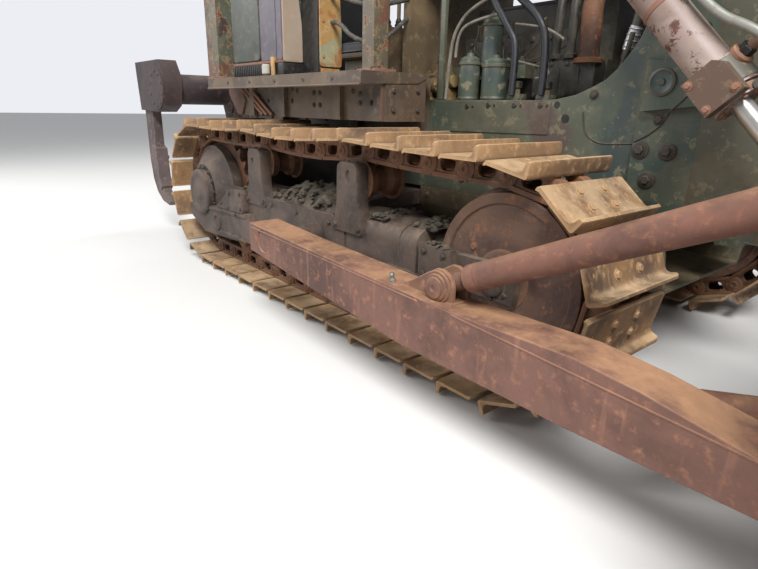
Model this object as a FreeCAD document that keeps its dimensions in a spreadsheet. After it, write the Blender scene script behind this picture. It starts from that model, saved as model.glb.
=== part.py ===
import FreeCAD, Part
import math
import os
import re

import Sketcher

# Crawler tractor with a straight blade, a rear ripper and a four-post canopy.
# Millimetres. +X forward, +Y to the left, +Z up, z = 0 on the ground.
# Stations along X are measured from the sprocket axis. Each finished piece is then moved back
# by origin_x, so that the origin is on the ground under the middle of the machine.

Vector = FreeCAD.Vector
doc = FreeCAD.newDocument("tractor")
sheet = doc.addObject("Spreadsheet::Sheet", "Sizes")

# Driving dimensions: (alias, value)
SIZES = [
    # Track chain
    ("link_pitch", 203), ("shoe_count", 38), ("shoe_wide", 508), ("gauge", 1880),
    ("rail_half", 50), ("plate_thick", 13), ("grouser_tall", 50), ("grouser_thick", 15),
    ("shoe_gap", 9), ("rail_in", 50), ("rail_out", 96), ("bush_rad", 30),
    ("pins_per_turn", 12.5), ("idler_rad", 330), ("carrier_rad", 88), ("roller_rad", 108),
    ("carrier1_x", 780), ("carrier2_x", 1720), ("sag", 28),
    ("bush_play", 1.5), ("tooth_wide", 62), ("run_play", 0.5), ("seat", 3), ("near", 0.3),
    # Track frame
    ("rail_wide", 60), ("frame_half", 172), ("frame_low", 345), ("frame_top", 600),
    ("frame_back", 330), ("frame_front", 1690), ("cover_half", 165), ("recoil_front", 2200),
    ("cover_low", 425), ("cover_top", 640), ("seam_x", 2088), ("seam_wide", 7),
    ("idler_half", 98), ("yoke_thick", 36), ("post_x_wide", 150), ("post_out", 172),
    ("post_thick", 60), ("post_top", 862), ("roller_count", 6),
    ("cap_rad", 160), ("cap_out", 218), ("cone_rad", 318), ("cone_out", 92),
    ("casting_out", 210), ("casting_front", 740), ("casting_low", 240),
    ("casting_tall", 230), ("case_rad", 285), ("tooth_gap", 6),
    ("trunnion_x", 1450), ("trunnion_z", 482), ("trunnion_rad", 55),
    # Push arms and blade
    ("arm_gap", 328), ("arm_wide", 164), ("arm_back", 1310), ("brace_mid", 64),
    ("clevis_gap", 28), ("clevis_thick", 20),
    ("brace_x", 2606), ("brace_z", 545), ("brace_rad", 46), ("brace_top_z", 1114),
    ("blade_x", 3862), ("blade_wide", 3660), ("blade_low", 12), ("blade_tall", 1260),
    ("blade_thick", 26), ("edge_tall", 200), ("edge_thick", 28), ("curve_depth", 190),
    ("strut_x", 3250), ("strut_z", 372), ("strut_in", 800), ("strut_rad", 52),
    # Lift cylinders
    ("lift_out", 125), ("lift_pin_reach", 95), ("lift_pin_z", 1215), ("lift_eye_x", 3770),
    ("lift_eye_z", 520), ("lift_rad", 67), ("lift_rod_rad", 32), ("lift_tail", 790),
    ("lift_nose", 85), ("lift_pin_rad", 30), ("lift_rod_in", 280), ("eye_rad", 58), ("eye_half", 30),
    ("ear_gap", 8), ("ear_thick", 28), ("play", 0.4),
    # Main frame and nose
    ("side_thick", 30), ("rail_top", 1165), ("rail_low", 705),
    ("rail_back", 900), ("rail_high", 1500), ("sweep_long", 680), ("stack_back", 330), ("nose_long", 230),
    ("nose_front", 3010),
    ("nose_top", 1960), ("nose_side", 30), ("nose_wall", 40), ("lamp_in", 150), ("grille_bar", 16), ("grille_bars", 9),
    ("hood_top", 1945), ("hood_wide", 800), ("hood_thick", 8),
    ("hood_side", 150), ("case_top", 1120), ("case_low", 420), ("case_wide", 939.4),
    ("case_back", -520), ("case_front", 1180), ("bar_x", 1510),
    # Engine
    ("engine_back", 1560), ("engine_gap", 300), ("engine_low", 780), ("engine_top", 1560),
    ("engine_wide", 520), ("fan_gap", 210), ("fan_z", 1400), ("fan_rad", 340),
    # Fenders, cab floor, boxes
    ("fender_out", 1060), ("fender_gap", 60), ("fender_back", 50), ("fender_front", 1745),
    ("fender_top", 1282), ("fender_lip", 62), ("fender_thick", 10), ("skirt_y", 905),
    ("skirt_low", 1056), ("box_back", 330), ("box_front", 950), ("console_front", 1125),
    ("console_out", 863), ("console_in", 728), ("front_in", 645), ("box_top", 1870),
    ("box_in", 600), ("box_out", 985), ("lid_tall", 60), ("lid_gap", 0.3), ("hinge_rad", 9), ("tow_rad", 30),
    ("rear_post", 170), ("rear_post_x", 55), ("front_post", 88), ("front_post_x", 1615),
    ("rear_post_y", 1050), ("front_post_y", 950), ("roof_low", 2880), ("roof_thick", 70),
    ("roof_over", 130), ("dash_x", 1330), ("dash_top", 1930), ("dash_thick", 60),
    ("floor_z", 1190), ("seat_x", 640), ("seat_z", 1560), ("seat_wide", 520),
    ("seat_deep", 480), ("seat_thick", 130), ("tank_back", -560), ("tank_front", 20),
    ("tank_top", 1900), ("tank_wide", 980),
    # Ripper
    ("rip_low_x", -650), ("rip_low_z", 520), ("rip_apart", 260), ("rip_run", 290),
    ("rip_rise", 310), ("rip_pin_rad", 35), ("rip_plate_y", 292), ("rip_plate", 33),
    ("rip_arm", 70), ("rip_arm_half", 55), ("rip_link_half", 42), ("rip_share", 0.5),
    ("rip_tube_share", 0.8), ("rip_tube_rad", 40), ("rip_eye", 45), ("rip_ear", 24),
    ("beam_x", -1080), ("beam_z", 1235), ("beam_rad", 122), ("beam_half", 1040), ("shaft_room", 20),
    ("disc_rad", 185), ("disc_thick", 12), ("shank_back", -1547), ("shank_wide", 195),
    ("shank_thick", 76), ("shank_y", 960), ("shank_low", 240), ("shank_top", 1450),
    ("cheek", 35), ("cheek_back", -1600), ("cheek_top", 1460), ("rip_cyl_y", 230),
    ("rip_cyl_x", -668), ("rip_cyl_z", 1400), ("rip_cyl_rad", 50), ("rip_rod_rad", 25),
    ("rip_barrel", 500), ("rip_rod_in", 420), ("rip_cyl_pin", 28),
]

for row, (alias, value) in enumerate(SIZES, start=1):
    sheet.set("A%d" % row, alias)
    sheet.set("B%d" % row, str(value))
    sheet.setAlias("B%d" % row, alias)
doc.recompute()


class Cells:
    """The sheet's cells, read by alias."""

    def __getattr__(self, alias):
        return float(sheet.get(alias))


size = Cells()
ALIASES = [alias for alias, value in SIZES]


def put(alias, value):
    """Add a worked-out size to the sheet."""
    row = len(ALIASES) + 1
    sheet.set("A%d" % row, alias)
    sheet.set("B%d" % row, repr(float(value)))
    sheet.setAlias("B%d" % row, alias)
    ALIASES.append(alias)
    sheet.recompute()


def bound(text):
    """Turn bare aliases in an expression into references to the sheet."""
    return re.sub(r"[a-z][a-z0-9_]*", lambda m: "Sizes." + m.group(0)
                  if m.group(0) in ALIASES else m.group(0), str(text))


def bind(thing, prop, text):
    thing.setExpression(prop, bound(text))


def place(thing, x, y, z):
    bind(thing, "Placement.Base.x", x)
    bind(thing, "Placement.Base.y", y)
    bind(thing, "Placement.Base.z", z)


def block(x, y, z):
    """A box between (low, high) pairs of expressions."""
    box = doc.addObject("Part::Box", "block")
    bind(box, "Length", "(%s) - (%s)" % (x[1], x[0]))
    bind(box, "Width", "(%s) - (%s)" % (y[1], y[0]))
    bind(box, "Height", "(%s) - (%s)" % (z[1], z[0]))
    place(box, x[0], y[0], z[0])
    return box


TURN = {
    "X": FreeCAD.Rotation(Vector(0, 1, 0), 90),
    "Y": FreeCAD.Rotation(Vector(1, 0, 0), -90),
    "Z": FreeCAD.Rotation(),
}


def rod(axis, radius, low, high, a, b):
    """A cylinder along an axis from low to high; a and b are its two other coordinates in order."""
    cylinder = doc.addObject("Part::Cylinder", "rod")
    bind(cylinder, "Radius", radius)
    bind(cylinder, "Height", "(%s) - (%s)" % (high, low))
    cylinder.Placement = FreeCAD.Placement(Vector(), TURN[axis])
    at = {"X": (low, a, b), "Y": (a, low, b), "Z": (a, b, low)}[axis]
    place(cylinder, *at)
    return cylinder


def cone(axis, low_radius, high_radius, low, high, a, b):
    taper = doc.addObject("Part::Cone", "cone")
    bind(taper, "Radius1", low_radius)
    bind(taper, "Radius2", high_radius)
    bind(taper, "Height", "(%s) - (%s)" % (high, low))
    taper.Placement = FreeCAD.Placement(Vector(), TURN[axis])
    at = {"X": (low, a, b), "Y": (a, low, b), "Z": (a, b, low)}[axis]
    place(taper, *at)
    return taper


PLANES = {"XZ": ("XZ_Plane", -1), "YZ": ("YZ_Plane", 1), "XY": ("XY_Plane", 1)}


def profile(plane, outline, low, high):
    """Pad a closed outline of bound corners between two distances off an origin plane."""
    role, sense = PLANES[plane]
    body = doc.addObject("PartDesign::Body", "profile")
    sketch = body.newObject("Sketcher::SketchObject", "outline")
    datum = [item for item in body.Origin.OriginFeatures if item.Role == role][0]
    sketch.AttachmentSupport = (datum, [""])
    sketch.MapMode = "FlatFace"
    bind(sketch, "AttachmentOffset.Base.z", "-(%s)" % high if sense < 0 else "%s" % low)
    corners = [(value(u), value(v)) for u, v in outline]
    count = len(corners)
    for index in range(count):
        start, end = corners[index], corners[(index + 1) % count]
        sketch.addGeometry(Part.LineSegment(Vector(*start), Vector(*end)), False)
    for index in range(count):
        sketch.addConstraint(Sketcher.Constraint("Coincident", index, 2, (index + 1) % count, 1))
    for index, (u, v) in enumerate(outline):
        for kind, number, text in (("DistanceX", 0, u), ("DistanceY", 1, v)):
            key = sketch.addConstraint(
                Sketcher.Constraint(kind, -1, 1, index, 1, corners[index][number]))
            bind(sketch, "Constraints[%d]" % key, text)
    pad = body.newObject("PartDesign::Pad", "pad")
    pad.Profile = sketch
    bind(pad, "Length", "(%s) - (%s)" % (high, low))
    return body


def value(text):
    """The number that an expression of aliases gives now."""
    names = {alias: float(sheet.get(alias)) for alias in ALIASES if alias in str(text)}
    result = str(text)
    for alias in sorted(names, key=len, reverse=True):
        result = re.sub(r"\b%s\b" % alias, "(%r)" % names[alias], result)
    return float(FreeCAD.Units.Quantity(result).Value)


def fuse(*things):
    joined = doc.addObject("Part::MultiFuse", "fuse")
    joined.Shapes = list(things)
    joined.Refine = True
    return joined


def cut(base, *tools):
    result = doc.addObject("Part::Cut", "cut")
    result.Base = base
    result.Tool = tools[0] if len(tools) == 1 else fuse(*tools)
    return result


def feature(shape):
    """A shape made by Part's own functions, where neither a sketch nor a primitive fits."""
    thing = doc.addObject("Part::Feature", "shape")
    thing.Shape = shape
    return thing


NODES = []


def node(label, thing):
    """Name a finished piece and move it so that x = 0 is the middle of the machine."""
    thing.Label = label
    shift = "-Sizes.origin_x"
    for path, text in thing.ExpressionEngine:
        if path.lstrip(".") == "Placement.Base.x":
            shift = "%s - Sizes.origin_x" % text
    thing.setExpression("Placement.Base.x", shift)
    NODES.append(thing)
    return thing


def both(label, thing):
    """A right-hand piece and its mirror image on the left."""
    node(label + "_right", thing)
    twin = doc.addObject("Part::Mirroring", "mirror")
    twin.Source = thing
    twin.Normal = (0, 1, 0)
    twin.Label = label + "_left"
    NODES.append(twin)


def pair(label, thing):
    """A right-hand piece and its mirror image as one named piece."""
    twin = doc.addObject("Part::Mirroring", "mirror")
    twin.Source = thing
    twin.Normal = (0, 1, 0)
    joined = doc.addObject("Part::Compound", "pair")
    joined.Links = [thing, twin]
    node(label, joined)


# Track path
pin_low = size.rail_half + size.plate_thick + size.grouser_tall
wheel = size.link_pitch / (2 * math.sin(math.pi / size.pins_per_turn))
idler_pin = math.hypot(size.idler_rad + size.rail_half, size.link_pitch / 2)
carrier_pin_z = pin_low + 2 * wheel
put("pin_low", pin_low)
put("wheel_rad", wheel)
put("wheel_z", pin_low + wheel)
put("idler_z", pin_low + idler_pin)
put("roller_z", pin_low + size.rail_half + size.roller_rad + size.run_play)
put("track_y", size.gauge / 2)

# Places that follow the gauge or the nose
put("post_y", size.track_y + size.post_out)
put("cap_y", size.track_y + size.cap_out)
put("cone_y", size.track_y + size.cone_out)
put("casting_y", size.track_y + size.casting_out)
put("arm_in", size.track_y + size.arm_gap)
put("arm_out", size.arm_in + size.arm_wide)
put("nose_back", size.nose_front - size.nose_long)
put("sweep_x", size.nose_front - size.sweep_long)
put("fan_x", size.nose_back - size.fan_gap)
put("engine_front", size.nose_back - size.engine_gap)
put("lift_pin_x", size.nose_front + size.lift_pin_reach)
put("stack_x", size.engine_front - size.stack_back)

# Widths that follow the rear case
put("side_y", size.case_wide / 2 + size.near + size.side_thick)
put("nose_wide", 2 * (size.side_y + size.nose_side))
put("fender_in", size.side_y + size.fender_gap)
put("lift_y", size.nose_wide / 2 + size.lift_out)
put("lamp_y", size.nose_wide / 2 - size.lamp_in)


def arc_points(x, z, radius, start, end, steps=90):
    turn = [start + (end - start) * step / steps for step in range(steps + 1)]
    return [(x + radius * math.cos(angle), z + radius * math.sin(angle)) for angle in turn]


def hang(start, end, sag, steps=40):
    """A shallow hanging curve between two points, without its end."""
    curve = []
    for step in range(steps):
        part = step / steps
        drop = 4 * sag * part * (1 - part)
        curve.append((start[0] + (end[0] - start[0]) * part,
                      start[1] + (end[1] - start[1]) * part - drop))
    return curve


def path(front_x):
    """The closed line that the link pins follow, from under the sprocket, forward and round."""
    half = math.pi / 2
    over2 = (size.carrier2_x, carrier_pin_z)
    over1 = (size.carrier1_x, carrier_pin_z)
    front = arc_points(front_x, size.idler_z, idler_pin, -half, half)
    line = hang((0, pin_low), front[0], 0) + front
    line += hang(front[-1], over2, size.sag / 4)
    line += hang(over2, over1, size.sag)
    line += hang(over1, (0, carrier_pin_z), size.sag / 2)
    line += arc_points(0, size.wheel_z, wheel, half, 3 * half)
    return line


def walk(line, count, pitch):
    """Step chords of one pitch along a line, and say how far the last lies from the start."""
    pins = [line[0]]
    index = 1
    while len(pins) < count:
        here = pins[-1]
        while index < len(line) and math.dist(here, line[index]) < pitch:
            index += 1
        if index == len(line):
            return pins, -pitch
        low, high = 0.0, 1.0
        before, after = line[index - 1], line[index]
        for _ in range(40):
            part = (low + high) / 2
            point = (before[0] + (after[0] - before[0]) * part,
                     before[1] + (after[1] - before[1]) * part)
            if math.dist(here, point) < pitch:
                low = part
            else:
                high = part
        pins.append(point)
    rest = math.dist(pins[-1], line[-1])
    return pins, rest - pitch


def close_chain():
    """Set the idler where the chain's last link just closes."""
    count = int(size.shoe_count)
    pitch = size.link_pitch
    low = (count / 2 - 8) * pitch
    high = (count / 2 - 4) * pitch
    for _ in range(50):
        middle = (low + high) / 2
        pins, error = walk(path(middle), count, pitch)
        if error > 0:
            high = middle
        else:
            low = middle
    return middle, pins


idler_x, PINS = close_chain()
put("idler_x", idler_x)
put("deck_z", size.fender_top + size.near)
put("arm_front", size.blade_x - 6 - size.near)
put("rip_up_z", size.rip_low_z + size.rip_apart)


# Tracks
def offset_ring(distance):
    """The pins' polygon moved out by a distance, mitred at each pin."""
    count = len(PINS)
    ring = []
    for index in range(count):
        before, here, after = PINS[index - 1], PINS[index], PINS[(index + 1) % count]
        normals = []
        for start, end in ((before, here), (here, after)):
            length = math.dist(start, end)
            normals.append(((end[1] - start[1]) / length, -(end[0] - start[0]) / length))
        nx, nz = normals[0][0] + normals[1][0], normals[0][1] + normals[1][1]
        grow = 2 / (nx * nx + nz * nz)
        ring.append(Vector(here[0] + nx * grow * distance, 0, here[1] + nz * grow * distance))
    return ring


def under_chain(x, radius):
    """The height of a wheel's axle where its tread just bears on the chain above it."""
    ring = [(point.x, point.z) for point in offset_ring(-size.rail_half)]
    edges = [(ring[index - 1], ring[index]) for index in range(len(ring))]
    edges = [edge for edge in edges if min(edge[0][1], edge[1][1]) > size.idler_z]
    low, high = size.frame_top, carrier_pin_z
    for _ in range(50):
        middle = (low + high) / 2
        gap = 1e9
        for (ax, az), (bx, bz) in edges:
            part = ((x - ax) * (bx - ax) + (middle - az) * (bz - az)) / (
                (bx - ax) ** 2 + (bz - az) ** 2)
            part = min(1, max(0, part))
            gap = min(gap, math.hypot(x - ax - part * (bx - ax), middle - az - part * (bz - az)))
        if gap > radius:
            low = middle
        else:
            high = middle
    return low


put("carrier1_z", under_chain(size.carrier1_x, size.carrier_rad))
put("carrier2_z", under_chain(size.carrier2_x, size.carrier_rad))


def seat_line():
    """The blade's section: top, middle and seat of its curve, and the foot of its flat part."""
    x, low, tall = size.blade_x + size.blade_thick, size.blade_low, size.blade_tall
    top = (x + 0.88 * size.curve_depth, low + tall)
    middle = (x, low + 0.52 * tall)
    rest = (x + 0.40 * size.curve_depth, low + size.edge_tall)
    slope = 2 * (rest[0] - middle[0]) / (middle[1] - rest[1])
    foot = (rest[0] + slope * 0.75 * size.edge_tall, rest[1] - 0.75 * size.edge_tall)
    return top, middle, rest, foot, slope


def edge_line():
    """The cutting edge's section, set against the blade's flat part."""
    top, middle, rest, foot, slope = seat_line()
    norm = math.hypot(1, slope)
    out = (1 / norm, slope / norm)
    back = (rest[0] + out[0] * size.near, rest[1] + out[1] * size.near)
    fall = back[1] - size.blade_low
    low = (back[0] + slope * fall, size.blade_low)
    return [low, (low[0] + out[0] * size.edge_thick, low[1] + out[1] * size.edge_thick),
            (back[0] + out[0] * size.edge_thick, back[1] + out[1] * size.edge_thick), back]


put("reach_front", max([seat_line()[0][0]] + [corner[0] for corner in edge_line()]))
put("reach_back", -size.cheek_back)
put("origin_x", (value("reach_front") - value("reach_back")) / 2)
doc.recompute()


def slab(points, low, high):
    """A flat polygon in the XZ plane, thick from y = low to y = high."""
    face = Part.Face(Part.makePolygon(points + points[:1]))
    face.translate(Vector(0, low, 0))
    return face.extrude(Vector(0, high - low, 0))


def disc(x, z, radius, low, high):
    """A round slice in the XZ plane from y = low to y = high."""
    return Part.makeCylinder(radius, high - low, Vector(x, low, z), Vector(0, 1, 0))


def chain_rail(low, high):
    """One side of the link chain: the band that the rollers run on."""
    outer = slab(offset_ring(size.rail_half), low, high)
    inner = slab(offset_ring(-size.rail_half), low - 1, high + 1)
    return outer.cut(inner)


def track_shape():
    """One closed chain of shoes with single grousers, two rails and the bushes between them."""
    plate = size.rail_half + size.plate_thick
    tip = plate + size.grouser_tall
    gap, pitch, thick = size.shoe_gap / 2, size.link_pitch, size.grouser_thick
    sole = size.rail_half
    section = [(gap, sole), (pitch - gap, sole), (pitch - gap, plate),
               (gap + 2.2 * thick, plate), (gap + thick, tip), (gap, tip)]
    middle = -size.track_y
    solids = [chain_rail(middle - size.rail_out, middle - size.rail_in),
              chain_rail(middle + size.rail_in, middle + size.rail_out)]
    count = len(PINS)
    for index in range(count):
        start, end = PINS[index], PINS[(index + 1) % count]
        length = math.dist(start, end)
        ux, uz = (end[0] - start[0]) / length, (end[1] - start[1]) / length
        corners = [Vector(start[0] + ux * u + uz * w, 0, start[1] + uz * u - ux * w)
                   for u, w in section]
        solids.append(slab(corners, middle - size.shoe_wide / 2, middle + size.shoe_wide / 2))
        bush = [Vector(start[0] + size.bush_rad * math.cos(math.pi / 2 * turn), 0,
                       start[1] + size.bush_rad * math.sin(math.pi / 2 * turn))
                for turn in range(4)]
        solids.append(slab(bush, middle - size.rail_in - size.seat,
                           middle + size.rail_in + size.seat))
    return solids[0].fuse(solids[1:]).removeSplitter()


both("track", feature(track_shape()))


# Sprockets
def sprocket_shape():
    """Twenty-five teeth at half the bush spacing, so that every second valley holds a bush."""
    teeth = int(round(2 * size.pins_per_turn))
    pitch = 2 * math.pi / teeth
    floor = size.bush_rad + size.bush_play
    outline = []
    for index in range(teeth):
        for radius, half in ((wheel + 0.5 * floor, -1.42 * floor), (wheel - floor, -0.62 * floor),
                             (wheel - floor, 0.62 * floor), (wheel + 0.5 * floor, 1.42 * floor)):
            angle = -math.pi / 2 + index * pitch + math.atan2(half, radius)
            far = math.hypot(radius, half)
            outline.append(Vector(far * math.cos(angle), 0,
                                  size.wheel_z + far * math.sin(angle)))
    half_wide = size.tooth_wide / 2
    toothed = slab(outline, -size.track_y - half_wide, -size.track_y + half_wide)
    hub_half = half_wide + size.tooth_gap - size.near
    hub = disc(0, size.wheel_z, 200, -size.track_y - hub_half, -size.track_y + hub_half)
    return toothed.fuse(hub).removeSplitter()


pair("sprockets", feature(sprocket_shape()))

# Final drives: the inner case, and the outer bearing with its cone, cap and lower casting
inner_case = fuse(
    rod("Y", "case_rad", "-(track_y - tooth_wide / 2 - tooth_gap)", "-(case_wide / 2 + 150)", 0, "wheel_z"),
    cone("Y", "case_rad", "case_rad - 50", "-(case_wide / 2 + 150)", "-(case_wide / 2 - 1)",
         0, "wheel_z"))
other_case = doc.addObject("Part::Mirroring", "mirror")
other_case.Source = inner_case
other_case.Normal = (0, 1, 0)
outer_bearing = fuse(
    rod("Y", "cone_rad", "-cone_y", "-(track_y + tooth_wide / 2 + tooth_gap)", 0, "wheel_z"),
    cone("Y", "cap_rad + 34", "cone_rad", "-(cap_y - 34)", "-cone_y", 0, "wheel_z"),
    rod("Y", "cap_rad", "-cap_y", "-(cap_y - 34)", 0, "wheel_z"),
    profile("XZ", [("-1.38 * cap_rad", "casting_low + 0.39 * casting_tall"),
                   ("0.12 * cap_rad", "casting_low"),
                   ("0.65 * casting_front", "casting_low + 0.1 * casting_tall"),
                   ("casting_front", "casting_low + 0.2 * casting_tall"),
                   ("casting_front", "casting_low + casting_tall"),
                   ("0.34 * casting_front", "casting_low + 0.93 * casting_tall"),
                   ("-1.38 * cap_rad", "casting_low + 0.78 * casting_tall")],
            "-casting_y", "-(track_y + frame_half + near)"))
pair("outer_bearings", outer_bearing)

# Track frames with their rollers
frame_pieces = [
    block(("frame_back", "frame_front"),
          ("-(track_y + frame_half)", "-(track_y + frame_half - rail_wide)"),
          ("frame_low", "frame_top")),
    block(("frame_back", "frame_front"),
          ("-(track_y - frame_half + rail_wide)", "-(track_y - frame_half)"),
          ("frame_low", "frame_top")),
    block(("frame_back + 160", "frame_front"),
          ("-(track_y + frame_half)", "-(track_y - frame_half)"),
          ("frame_low + 60", "frame_top")),
    block(("frame_front - 1", "recoil_front + 60"),
          ("-(track_y + frame_half)", "-(track_y + frame_half - rail_wide)"),
          ("frame_low", "frame_low + 80")),
    block(("frame_front - 1", "recoil_front + 60"),
          ("-(track_y - frame_half + rail_wide)", "-(track_y - frame_half)"),
          ("frame_low", "frame_low + 80")),
    rod("Y", "trunnion_rad", "-(arm_out - 20)", "-(track_y + frame_half - 1)",
        "trunnion_x", "trunnion_z"),
]
# The spring's arched cover in two parts with a seam: share of its half width, share of its height
COVER_LINE = ((-1, 0), (-1, 0.62), (-0.96, 0.75), (-0.86, 0.86), (-0.7, 0.935), (-0.4, 0.985),
              (0, 1), (0.4, 0.985), (0.7, 0.935), (0.86, 0.86), (0.96, 0.75), (1, 0.62), (1, 0))
for low, high, scale in (("frame_front - 10", "seam_x", 1),
                         ("seam_x - 1", "seam_x + seam_wide + 1", 0.94),
                         ("seam_x + seam_wide", "recoil_front", 1)):
    frame_pieces.append(profile(
        "YZ", [("%s * cover_half - track_y" % (scale * share),
                "cover_low - 5 + %s * (cover_top - cover_low + 5)" % (scale * rise))
               for share, rise in COVER_LINE], low, high))
for post in ("carrier1", "carrier2"):
    frame_pieces.append(block(("%s_x - post_x_wide / 2" % post, "%s_x + post_x_wide / 2" % post),
                              ("-post_y", "-(post_y - post_thick)"),
                              ("frame_top - 60", "post_top")))
    frame_pieces.append(rod("Y", 34, "-post_y", "-(track_y - rail_out)", post + "_x", post + "_z"))
for side in ("-(track_y + idler_half + 14 + yoke_thick)", "-(track_y - idler_half - 14)"):
    frame_pieces.append(block(("recoil_front - 1", "idler_x + 90"), (side, "%s + yoke_thick" % side),
                             ("idler_z - 70", "idler_z + 70")))
frame_pieces.append(block(("recoil_front - 1", "recoil_front + 50"),
                         ("-(track_y + idler_half + 14)", "-(track_y - idler_half - 14)"),
                         ("idler_z - 70", "idler_z + 70")))
frame_pieces.append(rod("Y", 50, "-(track_y + idler_half + 30)", "-(track_y - idler_half - 30)",
                       "idler_x", "idler_z"))
pair("track_frames", fuse(*frame_pieces))


def wheel_shape(half, x, z):
    """Turn half a wheel's section of (radius, half width) corners about its own axle."""
    outline = [Vector(x, wide - size.track_y, z + radius) for radius, wide in half]
    outline += [Vector(x, -wide - size.track_y, z + radius) for radius, wide in reversed(half)]
    ring = Part.Face(Part.makePolygon(outline + outline[:1]))
    return ring.revolve(Vector(x, 0, z), Vector(0, 1, 0), 360)


def idler_shape():
    """A plain-disc idler with a centre flange between the rails."""
    rim = size.idler_half
    flange = size.rail_in - 4
    half = [(50 + size.near, rim - 18), (120, rim), (size.idler_rad - 46, rim - 8),
            (size.idler_rad - 40, rim), (size.idler_rad - size.run_play, rim),
            (size.idler_rad - size.run_play, flange), (size.idler_rad + 18, flange - 6)]
    return wheel_shape(half, idler_x, size.idler_z)


pair("idlers", feature(idler_shape()))


def roller_shape(x, z, radius, bore, hub, hub_half):
    """A double-flanged roller whose treads carry the two rails."""
    tread = radius - size.run_play
    half = [(bore, hub_half), (hub, hub_half), (hub, size.rail_out + 8),
            (radius + 18, size.rail_out + 5), (tread, size.rail_out + 0.5),
            (tread, size.rail_in - 6), (hub, size.rail_in - 20)]
    return wheel_shape(half, x, z)


first = size.frame_back + size.roller_rad + 15
last = idler_x - size.idler_rad - size.roller_rad - 20
count = int(size.roller_count)
rollers = [roller_shape(first + (last - first) * index / (count - 1), size.roller_z,
                        size.roller_rad, 20, size.frame_low - size.roller_z - size.near, 130)
           for index in range(count)]
carrier = (34 + size.near, 60, size.post_out - size.post_thick - size.near)
rollers += [roller_shape(size.carrier1_x, size.carrier1_z, size.carrier_rad, *carrier),
            roller_shape(size.carrier2_x, size.carrier2_z, size.carrier_rad, *carrier)]
pair("rollers", feature(Part.Compound(rollers)))


# Shapes shared by arms, links and cylinders
def link_bar(start, end, half, low, high, bores=()):
    """A flat bar with round ends between two pins, bored at (x, z, radius)."""
    length = math.dist(start, end)
    ux, uz = (end[0] - start[0]) / length, (end[1] - start[1]) / length
    corners = [Vector(point[0] - uz * side * half, 0, point[1] + ux * side * half)
               for point, side in ((start, -1), (end, -1), (end, 1), (start, 1))]
    bar = slab(corners, low, high)
    bar = bar.fuse([disc(point[0], point[1], half, low, high) for point in (start, end)])
    for x, z, radius in bores:
        bar = bar.cut(disc(x, z, radius, low - 1, high + 1))
    return bar.removeSplitter()


def round_bar(start, end, radius, y):
    """A cylinder between two points of the plane at y."""
    reach = Vector(end[0] - start[0], 0, end[1] - start[1])
    return Part.makeCylinder(radius, reach.Length, Vector(start[0], y, start[1]), reach)


def along(start, end, distance):
    """The point that lies a distance from start towards end."""
    length = math.dist(start, end)
    return (start[0] + (end[0] - start[0]) * distance / length,
            start[1] + (end[1] - start[1]) * distance / length)


# Push arms, braces and blade: one rigid frame that swings on the trunnions
trunnion = (size.trunnion_x, size.trunnion_z)
# Its outline: share of the way from back to front, share of the trunnion's height
ARM_LINE = ((0, 0.855), (0.189, 0.751), (0.46, 0.616), (0.723, 0.604), (1, 0.639), (1, 0.892),
            (0.896, 0.917), (0.797, 1.008), (0.723, 1.048), (0.551, 1.031), (0.192, 1.102), (0, 1.154))
arm = profile("XZ", [("arm_back + %s * (arm_front - arm_back)" % run, "%s * trunnion_z" % rise)
                     for run, rise in ARM_LINE], "-arm_out", "-arm_in")
bored = cut(arm, rod("Y", "trunnion_rad + play", "-arm_out - 1", "-arm_in + 1",
                     "trunnion_x", "trunnion_z"))
# Clevis plates: run and rise from the brace's eye in brace radii
CLEVIS_LINE = ((-5.3, -1.9), (1.41, -2), (1.43, 0.2), (1.27, 0.7), (0.85, 1.14), (0.3, 1.35),
               (-0.3, 1.34), (-1.43, 0.72), (-2.93, -0.22), (-4.57, -0.92))
clevis = [profile("XZ", [("brace_x + %s * brace_rad" % run, "brace_z + %s * brace_rad" % rise)
                         for run, rise in CLEVIS_LINE],
                  "-(arm_in + brace_mid + %s)" % low, "-(arm_in + brace_mid + %s)" % high)
          for low, high in (("clevis_gap + clevis_thick", "clevis_gap"),
                            ("(-clevis_gap)", "(-clevis_gap - clevis_thick)"))]
pair("push_arms", fuse(bored, *clevis))

brace_y = -(size.arm_in + size.brace_mid)
foot = (size.brace_x, size.brace_z)
head = (size.blade_x - 6, size.brace_top_z)
brace = disc(foot[0], foot[1], 0.82 * size.brace_rad, brace_y - size.clevis_gap + size.near,
             brace_y + size.clevis_gap - size.near).fuse([
    round_bar(along(foot, head, 24), along(foot, head, 113), 0.56 * size.brace_rad, brace_y),
    round_bar(along(foot, head, 112), along(foot, head, 1250), size.brace_rad, brace_y)])
brace = brace.cut(Part.makeBox(900, 400, 1200, Vector(size.arm_front, brace_y - 200, 600)))
pair("braces", feature(brace.removeSplitter()))


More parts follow.
